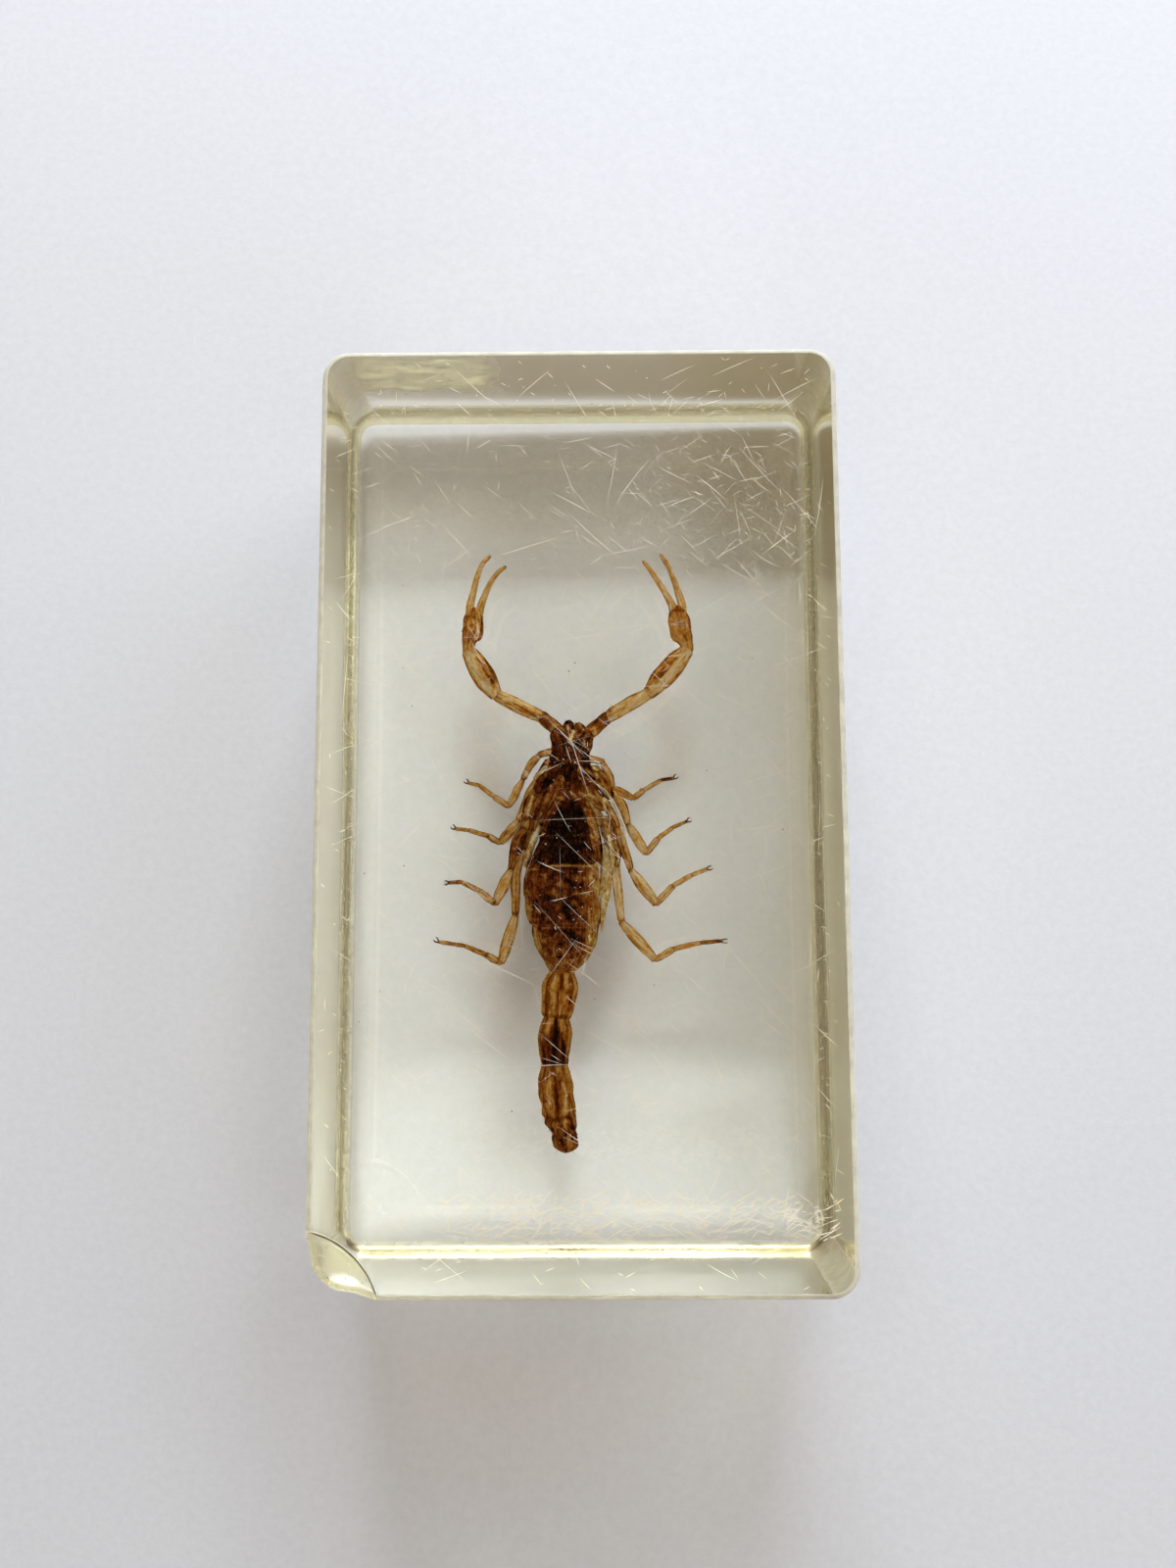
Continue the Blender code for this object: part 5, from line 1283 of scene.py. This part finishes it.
def add_scratch(shell, points, width, index):
    """A low ridge of frayed resin along points on the top face, pointed at both ends."""
    places = [Vector((x, y, BLOCK_HEIGHT + RIDGE_FOOT)) for x, y in points]
    rings = []
    ridge = []
    for before, place, after in zip(places, places[1:], places[2:]):
        along = (after - before).normalized()
        across = Vector((-along.y, along.x, 0.0)) * width / 2.0
        rings.append([shell.verts.new(spot * MM) for spot in
                      (place - across, place + across, place + Vector((0.0, 0.0, RIDGE_CREST)))])
    for near, far in zip(rings, rings[1:]):
        for side in range(3):
            ridge.append(shell.faces.new((near[side], near[(side + 1) % 3], far[(side + 1) % 3], far[side])))
    first = shell.verts.new(places[0] * MM)
    last = shell.verts.new(places[-1] * MM)
    for side in range(3):
        ridge.append(shell.faces.new((first, rings[0][(side + 1) % 3], rings[0][side])))
        ridge.append(shell.faces.new((last, rings[-1][side], rings[-1][(side + 1) % 3])))
    for face in ridge:
        face.material_index = index


def bent_line(start, heading, length, bend, pieces):
    """Points along a stroke that turns evenly as it goes."""
    points = [start]
    for piece in range(pieces):
        turn = math.radians(heading + bend * (piece / pieces - 0.5))
        x, y = points[-1]
        points.append((x + length / pieces * math.cos(turn), y + length / pieces * math.sin(turn)))
    return points


def on_top(points):
    """Whether every point lies on the flat of the top face, clear of the arrises and the chip."""
    return all(abs(x) < FLAT_TOP[0] and abs(y) < FLAT_TOP[1]
               and math.dist((x, y), CHIP_CENTRE[:2]) > CHIP_CLEARANCE for x, y in points)


def add_wear(shell):
    """The scratches: those that stand out, then hairlines, short rubs by the tail end, and specks."""
    rng = random.Random(61)
    for x0, y0, x1, y1, width in SCRATCHES:
        bend = rng.uniform(-6.0, 6.0)
        heading = math.degrees(math.atan2(y1 - y0, x1 - x0))
        line = bent_line((x0, y0), heading, math.dist((x0, y0), (x1, y1)), bend, 4)
        add_scratch(shell, line, width * RIDGE_SHARE, SCRATCH)
    for number, low, high, shortest, longest, widths, angles in HAIRLINES:
        made = 0
        while made < number:
            start = (rng.uniform(low[0], high[0]), rng.uniform(low[1], high[1]))
            if rng.random() < HEADED_SHARE:
                heading = rng.choice(angles) + rng.gauss(0.0, HEADING_STRAY)
            else:
                heading = rng.uniform(0.0, 180.0)
            length = shortest * (longest / shortest) ** (rng.random() ** 1.6)
            line = bent_line(start, heading, length, rng.gauss(0.0, 6.0), 3)
            if on_top(line):
                add_scratch(shell, line, rng.uniform(*widths), SCRATCH)
                made += 1
    for radius, width, index in CHIP_LINES:
        turns = [math.radians(turn) for turn in CHIP_ARC]
        line = [(CHIP_CENTRE[0] + radius * math.cos(turn), CHIP_CENTRE[1] + radius * math.sin(turn))
                for turn in turns]
        add_scratch(shell, line, width, index)
    for number, size, index in SPECKS:
        for _ in range(number):
            start = (rng.uniform(-19.0, 19.0), rng.uniform(-30.0, 35.0))
            line = bent_line(start, rng.uniform(0.0, 180.0), size * rng.uniform(0.6, 1.5), 40.0, 3)
            if on_top(line):
                add_scratch(shell, line, size * rng.uniform(0.5, 0.9), index)


def frost_at(x, y, z):
    """How much frost a point of the strips along the arrises has, from 0 to 1."""
    if z > BLOCK_HEIGHT - 1.0:
        return TOP_WEAR
    if abs(y) < END_ARRIS_FROM:
        return SIDE_FROST
    return HEAD_FROST if y > 0.0 else TAIL_FROST


block_mesh = chipped(block_body(), chip_cutter())
block_mesh.materials.clear()
shell = bmesh.new()
shell.from_mesh(block_mesh)
add_band(shell, SKIN_SECTION, SKIN, 1.0, skin_shape)
# The points between these two counts are those of the frosted strips.
own_points = len(shell.verts)
add_band(shell, arris_strip(BOTTOM_ARRIS, *LOWER_STRIP), FROST, 2.0, frost_shape)
top_strip = [(inset, BLOCK_HEIGHT - drop) for inset, drop in arris_strip(TOP_ARRIS, *UPPER_STRIP)]
add_band(shell, top_strip, FROST, 0.5, lambda x, y, inset, z: (x, y, z))
frosted_points = len(shell.verts)
add_wear(shell)
shell.to_mesh(block_mesh)
shell.free()
satin = block_mesh.attributes.new("satin", "FLOAT", "POINT")
satin.data.foreach_set("value", [satin_at(*(vert.co / MM)) for vert in block_mesh.vertices])
frost = block_mesh.attributes.new("frost", "FLOAT", "POINT")
frost.data.foreach_set("value", [
    frost_at(*(vert.co / MM)) if own_points <= vert.index < frosted_points else 0.0
    for vert in block_mesh.vertices])

# Polished casting resin has an index of 1.55. It is clear with a faint yellow tint that deepens with its
# thickness, and dull where the satin attribute says, broken up by rubbing marks of about 1 mm.
RESIN_INDEX = 1.55
RUBBING_CELLS = 0.9
resin_material, tree, output = new_material("polished_clear_resin")
dullness = add_node(tree, "ShaderNodeAttribute", {"attribute_name": "satin"})
place = add_node(tree, "ShaderNodeNewGeometry")
rubbing = add_node(tree, "ShaderNodeTexNoise", {}, {
    "Scale": RUBBING_CELLS / MM, "Detail": 4.0, "Roughness": 0.6}, {"Vector": place.outputs["Position"]})
uneven = add_node(tree, "ShaderNodeMapRange", {}, {"To Min": 0.25, "To Max": 0.75},
                  {"Value": rubbing.outputs["Fac"]})
rough = add_node(tree, "ShaderNodeMath", {"operation": "MULTIPLY"}, {},
                 {0: dullness.outputs["Fac"], 1: uneven.outputs["Result"]})
resin = add_node(tree, "ShaderNodeBsdfPrincipled", {}, {
    "Base Color": linear("FFFEF7"), "IOR": RESIN_INDEX, "Transmission Weight": 1.0},
    {"Roughness": rough.outputs[0]})
tint = add_node(tree, "ShaderNodeVolumeAbsorption", {}, {"Color": linear("F6EFC4"), "Density": 2.5})
tree.links.new(resin.outputs["BSDF"], output.inputs["Surface"])
tree.links.new(tint.outputs["Volume"], output.inputs["Volume"])

# The yellowed layer bends no light of its own, because it is the same resin, and only takes out more blue.
skin_material, tree, output = new_material("yellowed_resin_near_the_walls")
layer = add_node(tree, "ShaderNodeBsdfPrincipled", {}, {
    "Base Color": linear("FFFFFF"), "Roughness": 0.0, "IOR": 1.0, "Transmission Weight": 1.0})
tint = add_node(tree, "ShaderNodeVolumeAbsorption", {}, {"Color": linear("D6C87C"), "Density": 40.0})
tree.links.new(layer.outputs["BSDF"], output.inputs["Surface"])
tree.links.new(tint.outputs["Volume"], output.inputs["Volume"])

# Ground resin is white with fine scratches that scatter light. The frost attribute says how much of it there
# is, and clouds of about 2 mm leave clearer gaps in it.
FROST_CELLS = 0.5
frost_material, tree, output = new_material("frosted_resin")
amount = add_node(tree, "ShaderNodeAttribute", {"attribute_name": "frost"})
place = add_node(tree, "ShaderNodeNewGeometry")
grain = add_node(tree, "ShaderNodeTexNoise", {}, {"Scale": FROST_CELLS / MM, "Detail": 4.0, "Roughness": 0.6},
                 {"Vector": place.outputs["Position"]})
gaps = add_node(tree, "ShaderNodeMapRange", {}, {
    "From Min": 0.35, "From Max": 0.65, "To Min": 0.75, "To Max": 1.15}, {"Value": grain.outputs["Fac"]})
share = add_node(tree, "ShaderNodeMath", {"operation": "MULTIPLY", "use_clamp": True}, {},
                 {0: amount.outputs["Fac"], 1: gaps.outputs["Result"]})
white = add_node(tree, "ShaderNodeBsdfPrincipled", {}, {
    "Base Color": linear("F1EFE4"), "Roughness": 0.9, "Specular IOR Level": 0.1})
clear = add_node(tree, "ShaderNodeBsdfTransparent")
blend = add_node(tree, "ShaderNodeMixShader", {}, {},
                 {0: share.outputs[0], 1: clear.outputs[0], 2: white.outputs[0]})
tree.links.new(blend.outputs[0], output.inputs["Surface"])

# Scratches show as thin lines of frayed, warm white resin that let a little light through, in shades that
# change every 1.4 mm or so.
SCRATCH_SHARE = 0.85
SCRATCH_CELLS = 0.7
scratch_material, tree, output = new_material("frayed_resin_in_scratches")
place = add_node(tree, "ShaderNodeNewGeometry")
grain = add_node(tree, "ShaderNodeTexNoise", {}, {"Scale": SCRATCH_CELLS / MM, "Detail": 2.0},
                 {"Vector": place.outputs["Position"]})
whites = add_node(tree, "ShaderNodeValToRGB", {}, {}, {"Fac": grain.outputs["Fac"]})
whites.color_ramp.elements[0].color = linear("FFF1D8")
whites.color_ramp.elements[1].color = linear("FFFFFA")
frayed = add_node(tree, "ShaderNodeBsdfPrincipled", {}, {"Roughness": 0.5},
                  {"Base Color": whites.outputs["Color"]})
clear = add_node(tree, "ShaderNodeBsdfTransparent")
blend = add_node(tree, "ShaderNodeMixShader", {}, {0: SCRATCH_SHARE},
                 {1: clear.outputs[0], 2: frayed.outputs[0]})
tree.links.new(blend.outputs[0], output.inputs["Surface"])

# Dull brown dirt sits in a few small pits, and the same brown draws the dark line along the chip, in clots of
# about 1 mm.
DIRT_CELLS = 0.9
dirt_material, tree, output = new_material("dirt_in_pits")
place = add_node(tree, "ShaderNodeNewGeometry")
grain = add_node(tree, "ShaderNodeTexNoise", {}, {"Scale": DIRT_CELLS / MM, "Detail": 2.0},
                 {"Vector": place.outputs["Position"]})
browns = add_node(tree, "ShaderNodeValToRGB", {}, {}, {"Fac": grain.outputs["Fac"]})
browns.color_ramp.elements[0].color = linear("2C241A")
browns.color_ramp.elements[1].color = linear("5A4D3C")
dust = add_node(tree, "ShaderNodeBsdfPrincipled", {}, {"Roughness": 0.85},
                {"Base Color": browns.outputs["Color"]})
tree.links.new(dust.outputs["BSDF"], output.inputs["Surface"])

block = bpy.data.objects.new("clear_block", block_mesh)
bpy.context.scene.collection.objects.link(block)
for material in (resin_material, skin_material, frost_material, scratch_material, dirt_material):
    block_mesh.materials.append(material)
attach(block, "root")
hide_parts("resin_lower", "resin_upper")

# ---------------------------------------------------------------- floor, lights and camera
# A sheet of matt white board. It isn't quite flat, so light gets in under the block: the gap is 0.5 mm at the
# block's left side and 0.2 mm at its right. A window and the room's other light stand round the block as soft
# panels, and the camera looks down from above.

FLOOR_SIZE = 1400.0
FLOOR_GAP = 0.38
FLOOR_TILT = 0.45
# White board is dull, with the faint cloudiness of its paper, in cells of 0.7 mm, and its shallow tooth.
PAPER_CELLS = 1.4
PAPER_TOOTH = 0.05
material, tree, output = new_material("matt_white_board")
place = add_node(tree, "ShaderNodeNewGeometry")
fibres = add_node(tree, "ShaderNodeTexNoise", {}, {
    "Scale": PAPER_CELLS / MM, "Detail": 5.0, "Roughness": 0.75}, {"Vector": place.outputs["Position"]})
whites = add_node(tree, "ShaderNodeValToRGB", {}, {}, {"Fac": fibres.outputs["Fac"]})
for stop, position, shade in zip(whites.color_ramp.elements, (0.3, 0.7), ("E1E3ED", "E9EBF5")):
    stop.position, stop.color = position, linear(shade)
tooth = add_node(tree, "ShaderNodeBump", {}, {"Strength": 0.3, "Distance": PAPER_TOOTH * MM},
                 {"Height": fibres.outputs["Fac"]})
board = add_node(tree, "ShaderNodeBsdfPrincipled", {}, {"Roughness": 0.8, "Specular IOR Level": 0.2},
                 {"Base Color": whites.outputs["Color"], "Normal": tooth.outputs["Normal"]})
tree.links.new(board.outputs["BSDF"], output.inputs["Surface"])
bpy.ops.mesh.primitive_plane_add(size=FLOOR_SIZE * MM, location=(0.0, 0.0, -FLOOR_GAP * MM))
floor = bpy.context.object
floor.name = "floor"
floor.rotation_euler = (0.0, math.radians(-FLOOR_TILT), 0.0)
floor.data.materials.append(material)

# A window behind the head end gives most of the light, a second one at the right some, and the sky above the
# window and the room at the right a little: (name, azimuth from +Y towards +X, elevation, width and height in
# metres, power, colour).
PANEL_DISTANCE = 0.60
for name, azimuth, elevation, width, height, power, colour in (
        ("window_panel", 2.0, 22.0, 0.250, 0.180, 3.70, (0.88, 0.95, 1.0)),
        ("side_panel", 50.0, 31.0, 0.375, 0.235, 0.88, (0.94, 1.0, 0.97)),
        ("sky_panel", 10.0, 48.0, 0.740, 0.250, 0.46, (0.55, 0.75, 1.0)),
        ("room_panel", 115.0, 30.0, 0.730, 0.440, 0.70, (0.72, 0.78, 1.0))):
    turn, climb = math.radians(azimuth), math.radians(elevation)
    direction = Vector((math.sin(turn) * math.cos(climb), math.cos(turn) * math.cos(climb), math.sin(climb)))
    lamp = bpy.data.lights.new(name, "AREA")
    lamp.shape = "RECTANGLE"
    lamp.size = width
    lamp.size_y = height
    lamp.energy = power
    lamp.color = colour
    panel = bpy.data.objects.new(name, lamp)
    panel.location = direction * PANEL_DISTANCE
    panel.rotation_euler = direction.to_track_quat("Z", "Y").to_euler()
    bpy.context.scene.collection.objects.link(panel)

# The room's own light, by height: pale walls up to the middle, dark above them, a bright warm ring where the
# ceiling is lit, and dark overhead, where the camera is.
ROOM_STRENGTH = 1.12
world = bpy.data.worlds.new("room_light")
world.use_nodes = True
tree = world.node_tree
heading = add_node(tree, "ShaderNodeTexCoord")
parts = add_node(tree, "ShaderNodeSeparateXYZ", {}, {}, {0: heading.outputs["Generated"]})
ceiling = add_node(tree, "ShaderNodeValToRGB", {}, {}, {"Fac": parts.outputs["Z"]})
stops = ceiling.color_ramp.elements
stops[0].position, stops[0].color = 0.70, (0.02, 0.018, 0.014, 1.0)
stops[1].position, stops[1].color = 0.92, (0.015, 0.013, 0.010, 1.0)
for position in (0.78, 0.87):
    stops.new(position).color = (1.0, 0.80, 0.48, 1.0)
for position, shade in ((0.0, 0.34), (0.40, 0.34), (0.55, 0.02)):
    stops.new(position).color = (shade, shade * 0.96, shade * 0.90, 1.0)
tree.links.new(ceiling.outputs["Color"], tree.nodes["Background"].inputs["Color"])
tree.nodes["Background"].inputs["Strength"].default_value = ROOM_STRENGTH
bpy.context.scene.world = world

# The camera's place in millimetres, its turns in degrees, and its focal length as the photo's own pixels.
CAMERA_PLACE = (1.27, -7.41, 106.95)
CAMERA_TURNS = (5.915, 0.475, -0.271)
PHOTO_HEIGHT = 1600.0
FOCAL_PIXELS = 1164.0
SENSOR_WIDTH = 36.0
lens = bpy.data.cameras.new("camera")
lens.sensor_width = SENSOR_WIDTH
lens.lens = lens.sensor_width * FOCAL_PIXELS / PHOTO_HEIGHT
lens.clip_start = 0.005
lens.clip_end = 10.0
camera = bpy.data.objects.new("camera", lens)
camera.location = Vector(CAMERA_PLACE) * MM
camera.rotation_mode = "XYZ"
camera.rotation_euler = [math.radians(turn) for turn in CAMERA_TURNS]
bpy.context.scene.collection.objects.link(camera)
bpy.context.scene.camera = camera

# Light crosses many faces of resin, so its paths are let run long.
scene = bpy.context.scene
scene.view_settings.view_transform = "Standard"
scene.cycles.max_bounces = 24
scene.cycles.transmission_bounces = 24
scene.cycles.glossy_bounces = 16
scene.cycles.blur_glossy = 0.0
scene.cycles.sample_clamp_indirect = 40.0
